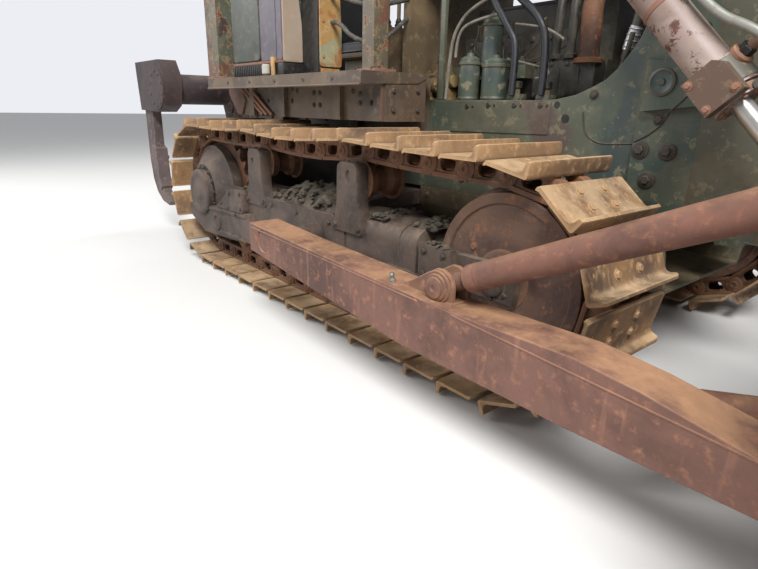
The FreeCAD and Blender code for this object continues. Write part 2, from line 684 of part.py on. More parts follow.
def blade_shape():
    """A curved board with a flat lower part, stiffened behind, with lift ears and struts."""
    half = size.blade_wide / 2
    top, middle, rest, foot, slope = seat_line()
    thick = size.blade_thick
    norm = math.hypot(1, slope)
    shift = (-thick / norm, -thick * slope / norm)
    front = [Vector(x, 0, z) for x, z in (top, middle, rest, foot)]
    back = [Vector(top[0] - thick, 0, top[1]), Vector(middle[0] - thick, 0, middle[1]),
            Vector(rest[0] + shift[0], 0, rest[1] + shift[1]),
            Vector(foot[0] + shift[0], 0, foot[1] + shift[1])]
    edges = [Part.Arc(*front[:3]).toShape(), Part.makeLine(front[2], front[3]),
             Part.makeLine(front[3], back[3]), Part.makeLine(back[3], back[2]),
             Part.Arc(back[2], back[1], back[0]).toShape(), Part.makeLine(back[0], front[0])]
    face = Part.Face(Part.Wire(edges))
    face.translate(Vector(0, -half, 0))
    board = face.extrude(Vector(0, 2 * half, 0))
    rear = size.blade_x - 6
    deep = 240
    pieces = [Part.makeBox(deep, 2 * half - 60, 120, Vector(rear, 30 - half, 300)),
              Part.makeBox(deep, 2 * half - 60, 110, Vector(rear, 30 - half, 1040))]
    ribs = [half - 24, -half]
    for y in (size.arm_in + 108, size.arm_in - 16, size.lift_y + 90, size.lift_y - 114):
        ribs += [y, -y - 24]
    for y in ribs:
        pieces.append(Part.makeBox(deep, 24, 850, Vector(rear, y, 300)))
    room = [Vector(rear - 500, 0, back[3].z), back[3], back[2]]
    wall = Part.Face(Part.Wire([
        Part.makeLine(room[0], room[1]), Part.makeLine(room[1], room[2]),
        Part.Arc(back[2], back[1], back[0]).toShape(),
        Part.makeLine(back[0], Vector(rear - 500, 0, back[0].z)),
        Part.makeLine(Vector(rear - 500, 0, back[0].z), room[0])]))
    wall.translate(Vector(-1, -half - 1, 0))
    behind = wall.extrude(Vector(0, 2 * half + 2, 0))
    wall.translate(Vector(2, 0, 0))
    reach = wall.extrude(Vector(0, 2 * half + 2, 0))
    stiff = pieces[0].fuse(pieces[1:]).common(reach)
    ears = []
    eye = (size.lift_eye_x, size.lift_eye_z)
    for side in (-1, 1):
        for ear in (-1, 1):
            y = side * size.lift_y + ear * (size.eye_half + size.ear_gap + size.ear_thick / 2)
            plate = slab([Vector(eye[0] - 20, 0, eye[1] + 58), Vector(eye[0] + 190, 0, eye[1] + 150),
                          Vector(eye[0] + 190, 0, eye[1] - 130), Vector(eye[0] - 20, 0, eye[1] - 58)],
                         y - size.ear_thick / 2, y + size.ear_thick / 2)
            ears.append(plate.common(reach))
            ears.append(disc(eye[0], eye[1], 62, y - size.ear_thick / 2, y + size.ear_thick / 2))
            cap = y + ear * (size.ear_thick / 2 + 6)
            ears.append(disc(eye[0], eye[1], 34, cap - 7, cap + 7))
        start = Vector(size.strut_x, side * (size.arm_in + 10), size.strut_z)
        run = Vector(size.blade_x + 40 - size.strut_x, side * (size.strut_in - size.arm_in - 10), 0)
        strut = Part.makeCylinder(size.strut_rad, run.Length, start, run)
        arm_room = Part.makeBox(3000, 400, 900, Vector(1200, -200 + side * (
            size.arm_in + 200 - size.near), 0))
        ears.append(strut.cut(arm_room).common(reach))
    return board.fuse([stiff] + ears).removeSplitter()


node("blade", feature(blade_shape()))
edge = slab([Vector(x, 0, z) for x, z in edge_line()], -size.blade_wide / 2, size.blade_wide / 2)
node("cutting_edge", feature(edge))

# Lift cylinders
pin = (size.lift_pin_x, size.lift_pin_z)
eye = (size.lift_eye_x, size.lift_eye_z)


def barrel_shape(pivot, towards, y, radius, rod_radius, tail, nose, stub):
    """A hollow barrel with a gland at its lower end and trunnion stubs at the pivot."""
    back = along(pivot, towards, -tail)
    front = along(pivot, towards, nose)
    body = round_bar(back, along(pivot, towards, nose - 10), radius, y)
    block = round_bar(along(pivot, towards, -52), along(pivot, towards, 52), radius + 20, y)
    gland = round_bar(along(pivot, towards, nose - 30), front, radius + 9, y)
    stubs = disc(pivot[0], pivot[1], stub, y - radius - 52, y + radius + 52)
    bore = round_bar(along(pivot, towards, -tail + 22), along(pivot, towards, nose + 1),
                     rod_radius + size.play, y)
    return body.fuse([block, gland, stubs]).cut(bore).removeSplitter()


def rod_shape(pivot, towards, y, radius, inside, eye_radius, eye_half):
    """A piston rod that starts inside the barrel and ends in its eye."""
    stem = round_bar(along(pivot, towards, -inside), along(towards, pivot, 20), radius, y)
    ring = disc(towards[0], towards[1], eye_radius, y - eye_half, y + eye_half)
    return stem.fuse(ring).removeSplitter()


both("lift_barrel", feature(barrel_shape(pin, eye, -size.lift_y, size.lift_rad,
                                         size.lift_rod_rad, size.lift_tail, size.lift_nose,
                                         size.lift_pin_rad)))
both("lift_rod", feature(rod_shape(pin, eye, -size.lift_y, size.lift_rod_rad,
                                   size.lift_rod_in, size.eye_rad, size.eye_half)))

# Main frame: rear case, side frames, belly guard, equalizer bar
rear_case = fuse(
    block(("case_back", "case_front"), ("-case_wide / 2", "case_wide / 2"),
          ("case_low", "case_top")),
    rod("X", 210, "case_front - 1", "engine_back - 40", 0, 950), inner_case, other_case)
node("rear_case", rear_case)
# The upward sweep: share of its length, share of its rise
SWEEP_LINE = ((0.632, 1), (0.615, 0.78), (0.596, 0.672), (0.569, 0.582), (0.532, 0.472),
              (0.484, 0.349), (0.419, 0.23), (0.331, 0.143), (0.235, 0.063), (0.103, 0.012), (0, 0))
side_frame = profile("XZ", [("rail_back", "rail_low"), ("nose_front", "rail_low"),
                            ("nose_front", "rail_high")] +
                     [("sweep_x + %s * sweep_long" % run,
                       "rail_top + %s * (rail_high - rail_top)" % rise)
                      for run, rise in SWEEP_LINE] + [("rail_back", "rail_top")],
                     "-side_y", "-(side_y - side_thick)")
pair("side_frames", side_frame)
guard = profile("YZ", [("-side_y", "rail_low - near"), ("-side_y", 620), (-410, 410), (410, 410),
                       ("side_y", 620), ("side_y", "rail_low - near"),
                       ("side_y - side_thick", "rail_low - near"), ("side_y - side_thick", 626),
                       (398, 426), (-398, 426), ("-side_y + side_thick", 626),
                       ("-side_y + side_thick", "rail_low - near")],
                "case_front + 3", "nose_front - 60")
slot = block(("bar_x - 75", "bar_x + 75"), ("-side_y - 20", "side_y + 20"),
             ("frame_top - 5", "rail_low + 15"))
node("belly_guard", cut(guard, slot))
node("equalizer_bar", profile("YZ", [(-860, "frame_top + near"), (860, "frame_top + near"), (860, 650),
                                     (300, 697), (-300, 697), (-860, 650)],
                              "bar_x - 65", "bar_x + 65"))

# Nose: radiator guard, core and grille
nose = profile("YZ", [("-nose_wide / 2", "rail_low"), ("nose_wide / 2", "rail_low"),
                      ("nose_wide / 2", "nose_top - 130"), ("nose_wide / 2 - 110", "nose_top"),
                      ("-nose_wide / 2 + 110", "nose_top"), ("-nose_wide / 2", "nose_top - 130")],
               "nose_back", "nose_front")
nose_room = block(("nose_back - 1", "nose_front + 1"), ("-(side_y - 40)", "side_y - 40"),
                  ("rail_low + 60", "nose_top - 90"))
slots = [block(("nose_back - 1", "nose_front + 1"), (low, high), ("rail_low - 1", "rail_high + near"))
         for low, high in (("-(side_y + near)", "-(side_y - side_thick - near)"),
                           ("side_y - side_thick - near", "side_y + near"))]
yokes = []
for low, high in (("-(lift_y - lift_rad - 26)", "-(nose_wide / 2 - 5)"),
                  ("nose_wide / 2 - 5", "lift_y - lift_rad - 26")):
    yoke = profile("XZ", [("lift_pin_x - 300", "lift_pin_z - 90"),
                          ("lift_pin_x + 10", "lift_pin_z - 58"),
                          ("lift_pin_x + 48", "lift_pin_z - 20"),
                          ("lift_pin_x + 48", "lift_pin_z + 30"),
                          ("lift_pin_x + 10", "lift_pin_z + 58"),
                          ("lift_pin_x - 300", "lift_pin_z + 90")], low, high)
    yokes.append(cut(yoke, rod("Y", "lift_pin_rad + play", low + " - 1", high + " + 1",
                               "lift_pin_x", "lift_pin_z")))
tow = cut(fuse(block(("nose_front - 1", "nose_front + 90"), (-150, 150), (600, 764)),
               block(("nose_front + 89", "nose_front + 220"), (-80, 80), (610, 690)),
               rod("Z", 80, 610, 690, "nose_front + 220", 0)),
          rod("Z", "tow_rad", 609, 691, "nose_front + 220", 0))
lamps = []
for y in ("-lamp_y", "lamp_y"):
    lamps.append(rod("X", 78, "nose_front - 90", "nose_front", y, "nose_top + 122"))
    lamps.append(block(("nose_front - 70", "nose_front - 20"), (y + " - 14", y + " + 14"),
                       ("nose_top - 1", "nose_top + 50")))
node("nose_guard", fuse(cut(nose, nose_room, *slots), tow, *yokes, *lamps))


def grille_shape():
    """The radiator core, and a frame with upright bars that closes the front of the nose."""
    wide, low = size.side_y - 40 - size.near, size.rail_low + 60 + size.near
    high = size.nose_top - 90 - size.near
    back, front = size.nose_front - 40, size.nose_front - 12
    frame = Part.makeBox(front - back, 2 * wide, high - low, Vector(back, -wide, low))
    room = Part.makeBox(front - back + 2, 2 * wide - 80, high - low - 80,
                        Vector(back - 1, -wide + 40, low + 40))
    pieces = []
    bars = int(size.grille_bars)
    step = (2 * wide - 80) / (bars + 1)
    for index in range(bars):
        y = -wide + 40 + step * (index + 1) - size.grille_bar / 2
        pieces.append(Part.makeBox(front - back - 8, size.grille_bar, high - low - 60,
                                   Vector(back + 4, y, low + 30)))
    pieces.append(Part.makeBox(front - back - 6, 2 * wide - 60, 30,
                               Vector(back + 3, -wide + 30, (low + high) / 2)))
    core = Part.makeBox(90, 2 * wide, high - low, Vector(size.nose_back + 90, -wide, low))
    return Part.Compound([frame.cut(room).fuse(pieces).removeSplitter(), core])


node("radiator", feature(grille_shape()))

# Engine, fan, filters, exhaust and air intake
mount_y = "side_y - side_thick - near"
engine = fuse(
    block(("engine_back", "engine_front"), ("-engine_wide / 2", "engine_wide / 2"),
          ("engine_low", 1340)),
    block(("engine_back + 20", "engine_front - 20"), (-190, 190), (1339, "engine_top - 70")),
    block(("engine_back + 40", "engine_front - 60"), (-120, 120),
          ("engine_top - 71", "engine_top + 60")),
    block(("engine_back + 60", "engine_front - 120"), (-200, 200), (712, "engine_low + 1")),
    block(("engine_back + 100", "engine_back + 160"), ("-(%s)" % mount_y, mount_y), (880, 950)),
    block(("engine_front - 160", "engine_front - 100"), ("-(%s)" % mount_y, mount_y), (880, 950)),
    rod("X", 250, "engine_back - 40 + near", "engine_back + 30", 0, 1000),
    rod("X", 44, "engine_front - 60", "fan_x - 30 - near", 0, "fan_z"))
node("engine", engine)


def fan_shape():
    """Six twisted blades on a hub."""
    hub = Part.makeCylinder(78, 60, Vector(size.fan_x - 30, 0, size.fan_z), Vector(1, 0, 0))
    blades = []
    for index in range(6):
        blade = Part.makeBox(8, 120, size.fan_rad - 60,
                             Vector(size.fan_x - 4, -60, size.fan_z + 60))
        blade.rotate(Vector(size.fan_x, 0, size.fan_z), Vector(0, 0, 1), 24)
        blade.rotate(Vector(size.fan_x, 0, size.fan_z), Vector(1, 0, 0), 60 * index)
        blades.append(blade)
    return hub.fuse(blades).removeSplitter()


node("fan", feature(fan_shape()))
filter_table = ((1790, -380, 54, 1168, 1365), (1962, -380, 66, 1168, 1347),
                (1885, -330, 50, 1331, 1545))
filters = [rod("Z", radius, low, high, x, y) for x, y, radius, low, high in filter_table]
filters.append(block((1620, 2100), (-330, "-engine_wide / 2 - near"), (1270, 1332)))
node("fuel_filters", fuse(*filters))
exhaust = [rod("X", 52, "engine_back + 60", "engine_front - 90", 262, 1440)]
for index in range(4):
    exhaust.append(rod("Y", 34, "190 + near", 262, "engine_back + 130 + %d * (engine_front - engine_back - 320) / 3" % index, 1440))
exhaust.append(rod("Z", 52, 1440, "hood_top + 840", "stack_x", 262))
exhaust.append(rod("Z", 95, "hood_top + 60", "hood_top + 620", "stack_x", 262))
node("exhaust", fuse(*exhaust))
cleaner = fuse(rod("Z", 62, "hood_top - 1", "hood_top + 200", 1760, -150),
               rod("Z", 130, "hood_top + 200", "hood_top + 380", 1760, -150),
               cone("Z", 130, 40, "hood_top + 379", "hood_top + 430", 1760, -150))
hood = profile("YZ", [("-hood_wide / 2", "hood_top - hood_side"),
                      ("-hood_wide / 2", "hood_top - 60"), ("-hood_wide / 2 + 60", "hood_top"),
                      ("hood_wide / 2 - 60", "hood_top"), ("hood_wide / 2", "hood_top - 60"),
                      ("hood_wide / 2", "hood_top - hood_side"),
                      ("hood_wide / 2 - hood_thick", "hood_top - hood_side"),
                      ("hood_wide / 2 - hood_thick", "hood_top - 60"),
                      ("hood_wide / 2 - 60", "hood_top - hood_thick"),
                      ("-hood_wide / 2 + 60", "hood_top - hood_thick"),
                      ("-hood_wide / 2 + hood_thick", "hood_top - 60"),
                      ("-hood_wide / 2 + hood_thick", "hood_top - hood_side")],
               "dash_x + dash_thick + near", "nose_back - near")
node("hood", fuse(cut(hood, rod("Z", 56, "hood_top - 40", "hood_top + 10", "stack_x", 262)), cleaner))
controls = [block(("dash_x", "dash_x + dash_thick"), (-440, 440), ("floor_z + near", "dash_top")),
            block(("dash_x - 60", "dash_x + 1"), (-300, 300), ("dash_top - 330", "dash_top - 60")),
            block((1060, 1240), (-470, -330), ("floor_z + near", 1560))]
for index in range(3):
    controls.append(rod("Z", 11, 1559, 1800, 1090 + 60 * index, 30 * index - 430))
    controls.append(rod("Z", 22, 1790, 1830, 1090 + 60 * index, 30 * index - 430))
node("controls", fuse(*controls))

# Fenders with their lips, skirts and ribs
skirt_ribs = []
for share in (0.2, 0.428, 0.764):
    x = "fender_back + %s * (fender_front - fender_back)" % share
    skirt_ribs.append(block((x, x + " + 60"), ("-skirt_y - 26", "-skirt_y + 1"),
                            ("skirt_low", "fender_top - fender_thick + 1")))
fender = fuse(
    block(("fender_back", "fender_front"), ("-fender_out", "-fender_in"),
          ("fender_top - fender_thick", "fender_top")),
    block(("fender_back", "fender_front"), ("-fender_out", "-fender_out + fender_thick"),
          ("fender_top - fender_lip", "fender_top")),
    block(("fender_back + 200", "fender_front"), ("-skirt_y", "-skirt_y + 8"),
          ("skirt_low", "fender_top - fender_thick + 1")),
    block(("fender_front - 8", "fender_front"), ("-skirt_y", "-front_in"),
          ("skirt_low", "fender_top - fender_thick + 1")),
    block((100, 170), ("-fender_in - 1", "-(case_wide / 2 + near)"), (1000, "fender_top")),
    block((1000, 1070), ("-fender_in - 1", "-(side_y + near)"), (1000, "fender_top")),
    block((1560, 1630), ("-fender_in - 1", "-(side_y + near)"), (1000, "fender_top")),
    *skirt_ribs)
pair("fenders", fender)
deck_y = "fender_in - near"
deck = fuse(
    block(("case_back + 40", 99), ("-%s" % deck_y.replace(" - ", " + "), deck_y),
          ("fender_top - 12", "fender_top")),
    block((98, 172), ("-(case_wide / 2 - 10)", "case_wide / 2 - 10"), ("fender_top - 12", "fender_top")),
    block((171, 960), ("-fender_in + near", deck_y), ("fender_top - 12", "fender_top")),
    block((948, 960), ("-fender_in + near", deck_y), ("floor_z - 10", "fender_top - 11")),
    block((948, 999), ("-fender_in + near", deck_y), ("floor_z - 10", "floor_z")),
    block((998, 1072), ("-(side_y - 10)", "side_y - 10"), ("floor_z - 10", "floor_z")),
    block((1071, "dash_x + dash_thick"), ("-fender_in + near", deck_y), ("floor_z - 10", "floor_z")),
    block((-400, 949), (-380, -330), ("case_top + near", "fender_top - 11")),
    block((-400, 949), (330, 380), ("case_top + near", "fender_top - 11")),
    block((961, "case_front"), (-380, -330), ("case_top + near", "floor_z - 9")),
    block((961, "case_front"), (330, 380), ("case_top + near", "floor_z - 9")),
    block(("seat_x - 180", "seat_x + 200"), (-210, 210), ("fender_top - 1", "seat_z - seat_thick")))
node("deck", deck)

# Battery box with its lid on the right, hydraulic tank on the left
wall = 14
box_base = block(("box_back", "box_front"), ("-box_out", "-box_in"),
                 ("deck_z", "box_top - lid_tall - lid_gap"))
box_room = block(("box_back + %d" % wall, "box_front - %d" % wall),
                 ("-box_out + %d" % wall, "-box_in - %d" % wall),
                 ("deck_z + 20", "box_top"))
console = block(("box_front - 1", "console_front"), ("-console_out", "-console_in"),
                ("deck_z", "box_top - lid_tall - 20"))
node("battery_box", fuse(cut(box_base, box_room), console))
lid_outer = block(("box_back", "box_front"), ("-box_out", "-box_in"),
                  ("box_top - lid_tall", "box_top"))
lid_room = block(("box_back + %d" % wall, "box_front - %d" % wall),
                 ("-box_out + %d" % wall, "-box_in - %d" % wall),
                 ("box_top - lid_tall - 1", "box_top - 12"))
hinge_z = "box_top - lid_tall - lid_gap / 2"
node("battery_lid", fuse(
    cut(lid_outer, lid_room),
    rod("X", "hinge_rad", "box_back + 60", "box_front - 60", "-box_in + hinge_rad + 1", hinge_z),
    block(("box_back + 60", "box_front - 60"), ("-box_in - 1", "-box_in + 10"),
          ("box_top - lid_tall", "box_top - lid_tall + 6"))))
hydraulic = fuse(block(("box_back", "box_front - 50"), ("box_in", "box_out"),
                       ("deck_z", "box_top - 40")),
                 rod("Z", 48, "box_top - 41", "box_top", "box_front - 170", "box_in + 190"))
node("hydraulic_tank", hydraulic)
tank = profile("XZ", [("tank_back", "deck_z"), ("tank_front", "deck_z"),
                      ("tank_front", "tank_top - 60"), ("tank_front - 60", "tank_top"),
                      ("tank_back + 120", "tank_top"), ("tank_back", "tank_top - 120")],
               "-tank_wide / 2", "tank_wide / 2")
node("fuel_tank", fuse(tank, rod("Z", 60, "tank_top - 1", "tank_top + 40", -200, 250)))

# Operator's seat
cushion = block(("seat_x - seat_deep / 2", "seat_x + seat_deep / 2"),
                ("-seat_wide / 2", "seat_wide / 2"), ("seat_z - seat_thick + near", "seat_z"))
seat_back = profile("XZ", [("seat_x - seat_deep / 2 - 150", "seat_z + 420"),
                           ("seat_x - seat_deep / 2 + 1", "seat_z - 1"),
                           ("seat_x - seat_deep / 2 + 100", "seat_z - 1"),
                           ("seat_x - seat_deep / 2 - 20", "seat_z + 420")],
                    "-seat_wide / 2 + 10", "seat_wide / 2 - 10")
node("seat", fuse(cushion, seat_back))

# Canopy: four posts with their top frame, and the roof
rear_x = ("rear_post_x", "rear_post_x + rear_post")
front_x = ("front_post_x", "front_post_x + front_post")
post_z = ("deck_z", "roof_low")
side_x = ("rear_post_x + 10", "front_post_x + 10")
side_z = ("roof_low - front_post - 5", "roof_low - 2")
posts = [block(rear_x, ("-rear_post_y", "-rear_post_y + rear_post"), post_z),
         block(rear_x, ("rear_post_y - rear_post", "rear_post_y"), post_z),
         block(front_x, ("-front_post_y", "-front_post_y + front_post"), post_z),
         block(front_x, ("front_post_y - front_post", "front_post_y"), post_z),
         block(rear_x, ("-rear_post_y + 10", "rear_post_y - 10"),
               ("roof_low - rear_post", "roof_low")),
         block(front_x, ("-front_post_y + 10", "front_post_y - 10"),
               ("roof_low - front_post", "roof_low")),
         block(side_x, ("-front_post_y + 5", "-front_post_y + front_post - 5"), side_z),
         block(side_x, ("front_post_y - front_post + 5", "front_post_y - 5"), side_z)]
node("canopy_frame", fuse(*posts))
roof_back, roof_front = "rear_post_x - roof_over", "front_post_x + front_post + roof_over"
node("canopy_roof", profile("XZ", [(roof_back, "roof_low + near"), (roof_front, "roof_low + near"),
                                   (roof_front, "roof_low + 40"),
                                   (roof_front + " - 60", "roof_low + roof_thick"),
                                   (roof_back + " + 60", "roof_low + roof_thick"),
                                   (roof_back, "roof_low + 40")],
                            "-rear_post_y - 40", "rear_post_y + 40"))

# Ripper: bracket, parallel arms and links, beam, shanks, cylinders
low0 = (size.rip_low_x, size.rip_low_z)
high0 = (size.rip_low_x, size.rip_up_z)
low1 = (low0[0] - size.rip_run, low0[1] + size.rip_rise)
high1 = (low1[0], low1[1] + size.rip_apart)
cyl0 = (size.rip_cyl_x, size.rip_cyl_z)
cyl1 = (low0[0] - size.rip_run * size.rip_share, low0[1] + size.rip_rise * size.rip_share)
pin_rad = size.rip_pin_rad
in_y, plate = size.rip_plate_y, size.rip_plate
arm_y = in_y + plate + 5
rip_y = arm_y + size.rip_arm + 5
eye_half, ear = 26, 22


def bracket_shape():
    """Two upright plates on the rear case, with the pins of the arms, links and cylinders."""
    pieces = []
    back, front = low0[0] - 62, size.case_back - size.near
    for sign in (-1, 1):
        low, high = sorted((sign * in_y, sign * (in_y + plate)))
        outline = [Vector(front, 0, size.case_low + 10), Vector(back, 0, low0[1] - 70),
                   Vector(back, 0, high0[1] + 60), Vector(cyl0[0] - 62, 0, cyl0[1] - 60),
                   Vector(cyl0[0] - 50, 0, cyl0[1] + 60), Vector(cyl0[0] + 60, 0, cyl0[1] + 60),
                   Vector(size.tank_back - 8, 0, size.fender_top - 50),
                   Vector(front, 0, size.case_top)]
        pieces.append(slab(outline, low, high))
        for point in (low0, high0):
            reach = sorted((sign * (in_y + 10), sign * (arm_y + size.rip_arm + 14)))
            pieces.append(disc(point[0], point[1], pin_rad, *reach))
        reach = sorted((sign * (size.rip_cyl_y - eye_half - 12), sign * (in_y + 10)))
        pieces.append(disc(cyl0[0], cyl0[1], size.rip_cyl_pin, *reach))
    cross = Part.makeBox(60, 2 * in_y + 20, 420,
                         Vector(front - 60, -in_y - 10, size.case_low + 60))
    return cross.fuse(pieces).removeSplitter()


node("ripper_bracket", feature(bracket_shape()))


def arm_pair(start, end, half):
    """Two equal bars, left and right, joined by the cross shaft at their rear end."""
    bars = []
    for sign in (-1, 1):
        low, high = sorted((sign * arm_y, sign * (arm_y + size.rip_arm)))
        bars.append(link_bar(start, end, half, low, high,
                             [(start[0], start[1], pin_rad + size.play)]))
    reach = rip_y + size.ear_thick + 19
    shaft = disc(end[0], end[1], pin_rad, -reach, reach)
    return shaft.fuse(bars)


def lower_arms():
    """The lower arms, with the cross tube and ears that the cylinders push."""
    tube = along(low0, low1, size.rip_tube_share * math.dist(low0, low1))
    pieces = [disc(tube[0], tube[1], size.rip_tube_rad, -arm_y - 1, arm_y + 1)]
    for side in (-1, 1):
        for turn in (-1, 1):
            inside = side * size.rip_cyl_y + turn * (eye_half + size.ear_gap)
            low, high = sorted((inside, inside + turn * ear))
            pieces.append(link_bar(tube, cyl1, size.rip_eye, low, high))
            low, high = sorted((inside + turn * (ear - 1), inside + turn * (ear + 10)))
            pieces.append(disc(cyl1[0], cyl1[1], size.rip_cyl_pin, low, high))
    return arm_pair(low0, low1, size.rip_arm_half).fuse(pieces).removeSplitter()


node("ripper_arms", feature(lower_arms()))
node("ripper_links", feature(arm_pair(high0, high1, size.rip_link_half).removeSplitter()))


def beam_shape():
    """The round cross beam with its shank pockets, end faces and pin plates."""
    x, z, half = size.beam_x, size.beam_z, size.beam_half
    back, top = size.cheek_back, size.cheek_top
    low = z - size.disc_rad
    cheek = [Vector(back, 0, top), Vector(x + 80, 0, top), Vector(x + 160, 0, z + 120),
             Vector(x + 175, 0, z), Vector(x + 130, 0, z - 130), Vector(x, 0, low),
             Vector(back + 45, 0, low + 10), Vector(back + 8, 0, z + 115)]
    pieces = []
    for y in (-size.shank_y, 0, size.shank_y):
        pieces.append(slab(cheek, y - half + size.shank_y, y + half - size.shank_y)
                      if y == 0 else
                      slab(cheek, y - half + size.shank_y + (size.disc_thick if y < 0 else 0),
                           y + half - size.shank_y - (size.disc_thick if y > 0 else 0)))
    for sign in (-1, 1):
        low_y, high_y = sorted((sign * (half - size.disc_thick - 1), sign * half))
        pieces.append(disc(x, z, size.disc_rad - 20, low_y, high_y))
        low_y, high_y = sorted((sign * rip_y, sign * (rip_y + size.ear_thick)))
        outline = [Vector(x - 70, 0, z - 60), Vector(x - 10, 0, z + 130), Vector(x + 110, 0, z + 90),
                   Vector(high1[0] + 62, 0, high1[1] + 30), Vector(low1[0] + 62, 0, low1[1] - 30),
                   Vector(low1[0] + 25, 0, low1[1] - 64), Vector(low1[0] - 35, 0, low1[1] - 60),
                   Vector(low1[0] - 64, 0, low1[1])]
        side = slab(outline, low_y, high_y)
        for point in (low1, high1):
            side = side.cut(disc(point[0], point[1], pin_rad + size.play, low_y - 1, high_y + 1))
        pieces.append(side)
    beam = disc(x, z, size.beam_rad, -half + 40, half - 40).fuse(pieces)
    for y in (-size.shank_y, 0, size.shank_y):
        room = Part.makeBox(size.shank_wide + 2 * size.play, size.shank_thick + 2 * size.play, 600,
                            Vector(size.shank_back - size.play,
                                   y - size.shank_thick / 2 - size.play, z - 300))
        beam = beam.cut(room)
    half = size.beam_half - size.shank_y + 1
    for point in (low1, high1):
        beam = beam.cut(disc(point[0], point[1], pin_rad + size.shaft_room, -half, half))
    return beam.removeSplitter()


node("ripper_beam", feature(beam_shape()))


def shank_shape(y):
    """An upright shank with a forward point and a wider wear guard."""
    x0, x1 = size.shank_back, size.shank_back + size.shank_wide
    low, top = size.shank_low, size.shank_top
    outline = [(x0, top), (x1, top), (x1, low + 380), (x1 + 20, low + 240), (x1 + 75, low + 130),
               (x1 + 207, low + 28), (x1 + 200, low), (x1 + 40, low + 22), (x0 + 110, low + 90),
               (x0 + 30, low + 210), (x0, low + 360)]
    guard = [(x1 - 60, low + 520), (x1 + 26, low + 495), (x1 + 42, low + 260), (x1 + 92, low + 160),
             (x1 + 40, low + 120), (x1 - 40, low + 240)]
    half = size.shank_thick / 2
    return slab([Vector(u, 0, w) for u, w in outline], y - half, y + half).fuse(
        slab([Vector(u, 0, w) for u, w in guard], y - half - 14, y + half + 14)).removeSplitter()


shanks = [shank_shape(y) for y in (-size.shank_y, 0, size.shank_y)]
node("ripper_shanks", feature(Part.Compound(shanks)))


def eyed_barrel(pivot, towards, y):
    """A hollow barrel that hangs from an eye, open at its lower end for the rod."""
    ring = disc(pivot[0], pivot[1], size.rip_cyl_pin + 24, y - eye_half, y + eye_half)
    tube = round_bar(along(pivot, towards, 40), along(pivot, towards, size.rip_barrel - 5),
                     size.rip_cyl_rad, y)
    gland = round_bar(along(pivot, towards, size.rip_barrel - 40),
                      along(pivot, towards, size.rip_barrel), size.rip_cyl_rad + 6, y)
    bore = round_bar(along(pivot, towards, size.rip_barrel - size.rip_rod_in - 18),
                     along(pivot, towards, size.rip_barrel + 1), size.rip_rod_rad + size.play, y)
    hole = disc(pivot[0], pivot[1], size.rip_cyl_pin + size.play, y - eye_half - 30,
                y + eye_half + 30)
    return tube.fuse([ring, gland]).cut(bore).cut(hole).removeSplitter()


both("ripper_barrel", feature(eyed_barrel(cyl0, cyl1, -size.rip_cyl_y)))
both("ripper_rod", feature(rod_shape(cyl0, cyl1, -size.rip_cyl_y, size.rip_rod_rad,
                                     size.rip_rod_in - size.rip_barrel, size.rip_eye, eye_half)))

# Every object has to be sound before anything is written
doc.recompute()
for thing in doc.Objects:
    if "Invalid" in thing.State or "Error" in thing.State:
        raise RuntimeError("%s is not sound: %s" % (thing.Label, thing.State))
os.makedirs("parts", exist_ok=True)
for thing in NODES:
    if thing.Shape.isNull() or not thing.Shape.isValid():
        raise RuntimeError("%s has no valid shape" % thing.Label)
for thing in NODES:
    thing.Shape.exportStep("parts/%s.step" % thing.Label)
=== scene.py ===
import math
import random

import bmesh
import bpy
from mathutils import Matrix, Vector, noise


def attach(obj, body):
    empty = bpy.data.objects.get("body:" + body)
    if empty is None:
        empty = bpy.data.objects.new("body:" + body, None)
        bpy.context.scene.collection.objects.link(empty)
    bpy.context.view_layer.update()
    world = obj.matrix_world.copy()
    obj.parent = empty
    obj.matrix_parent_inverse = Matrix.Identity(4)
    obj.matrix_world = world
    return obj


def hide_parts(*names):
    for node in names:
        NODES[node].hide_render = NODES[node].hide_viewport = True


# The looks of a worn crawler tractor. Metres, +X forward, +Y to the left, +Z up.
# Pieces are drawn in stations: their X starts at the sprocket's axis, and SHIFT moves it.

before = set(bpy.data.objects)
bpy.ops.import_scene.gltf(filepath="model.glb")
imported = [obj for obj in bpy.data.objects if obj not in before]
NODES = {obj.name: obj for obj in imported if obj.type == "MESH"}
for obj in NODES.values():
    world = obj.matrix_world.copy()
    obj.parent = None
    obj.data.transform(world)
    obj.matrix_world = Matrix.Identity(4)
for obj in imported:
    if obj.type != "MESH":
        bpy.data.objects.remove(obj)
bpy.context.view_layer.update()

SPROCKET_X = -1.2288293

SHIFT = Matrix.Translation((SPROCKET_X, 0, 0))


# --- shapes

class Shape:
    """Vertices and faces of one piece, gathered part by part, each with its material index."""

    def __init__(self):
        self.verts, self.faces, self.marks = [], [], []

    def add(self, mark, *parts):
        """Take over parts that share one material index."""
        for verts, faces in parts:
            start = len(self.verts)
            self.verts += [tuple(v) for v in verts]
            self.faces += [[start + index for index in face] for face in faces]
            self.marks += [mark] * len(faces)
        return self

    def join(self, other, matrix=None):
        """Take over another shape with its material indices, moved where a matrix is given."""
        start = len(self.verts)
        self.verts += [tuple(matrix @ Vector(v)) if matrix else tuple(v) for v in other.verts]
        self.faces += [[start + index for index in face] for face in other.faces]
        self.marks += other.marks
        return self


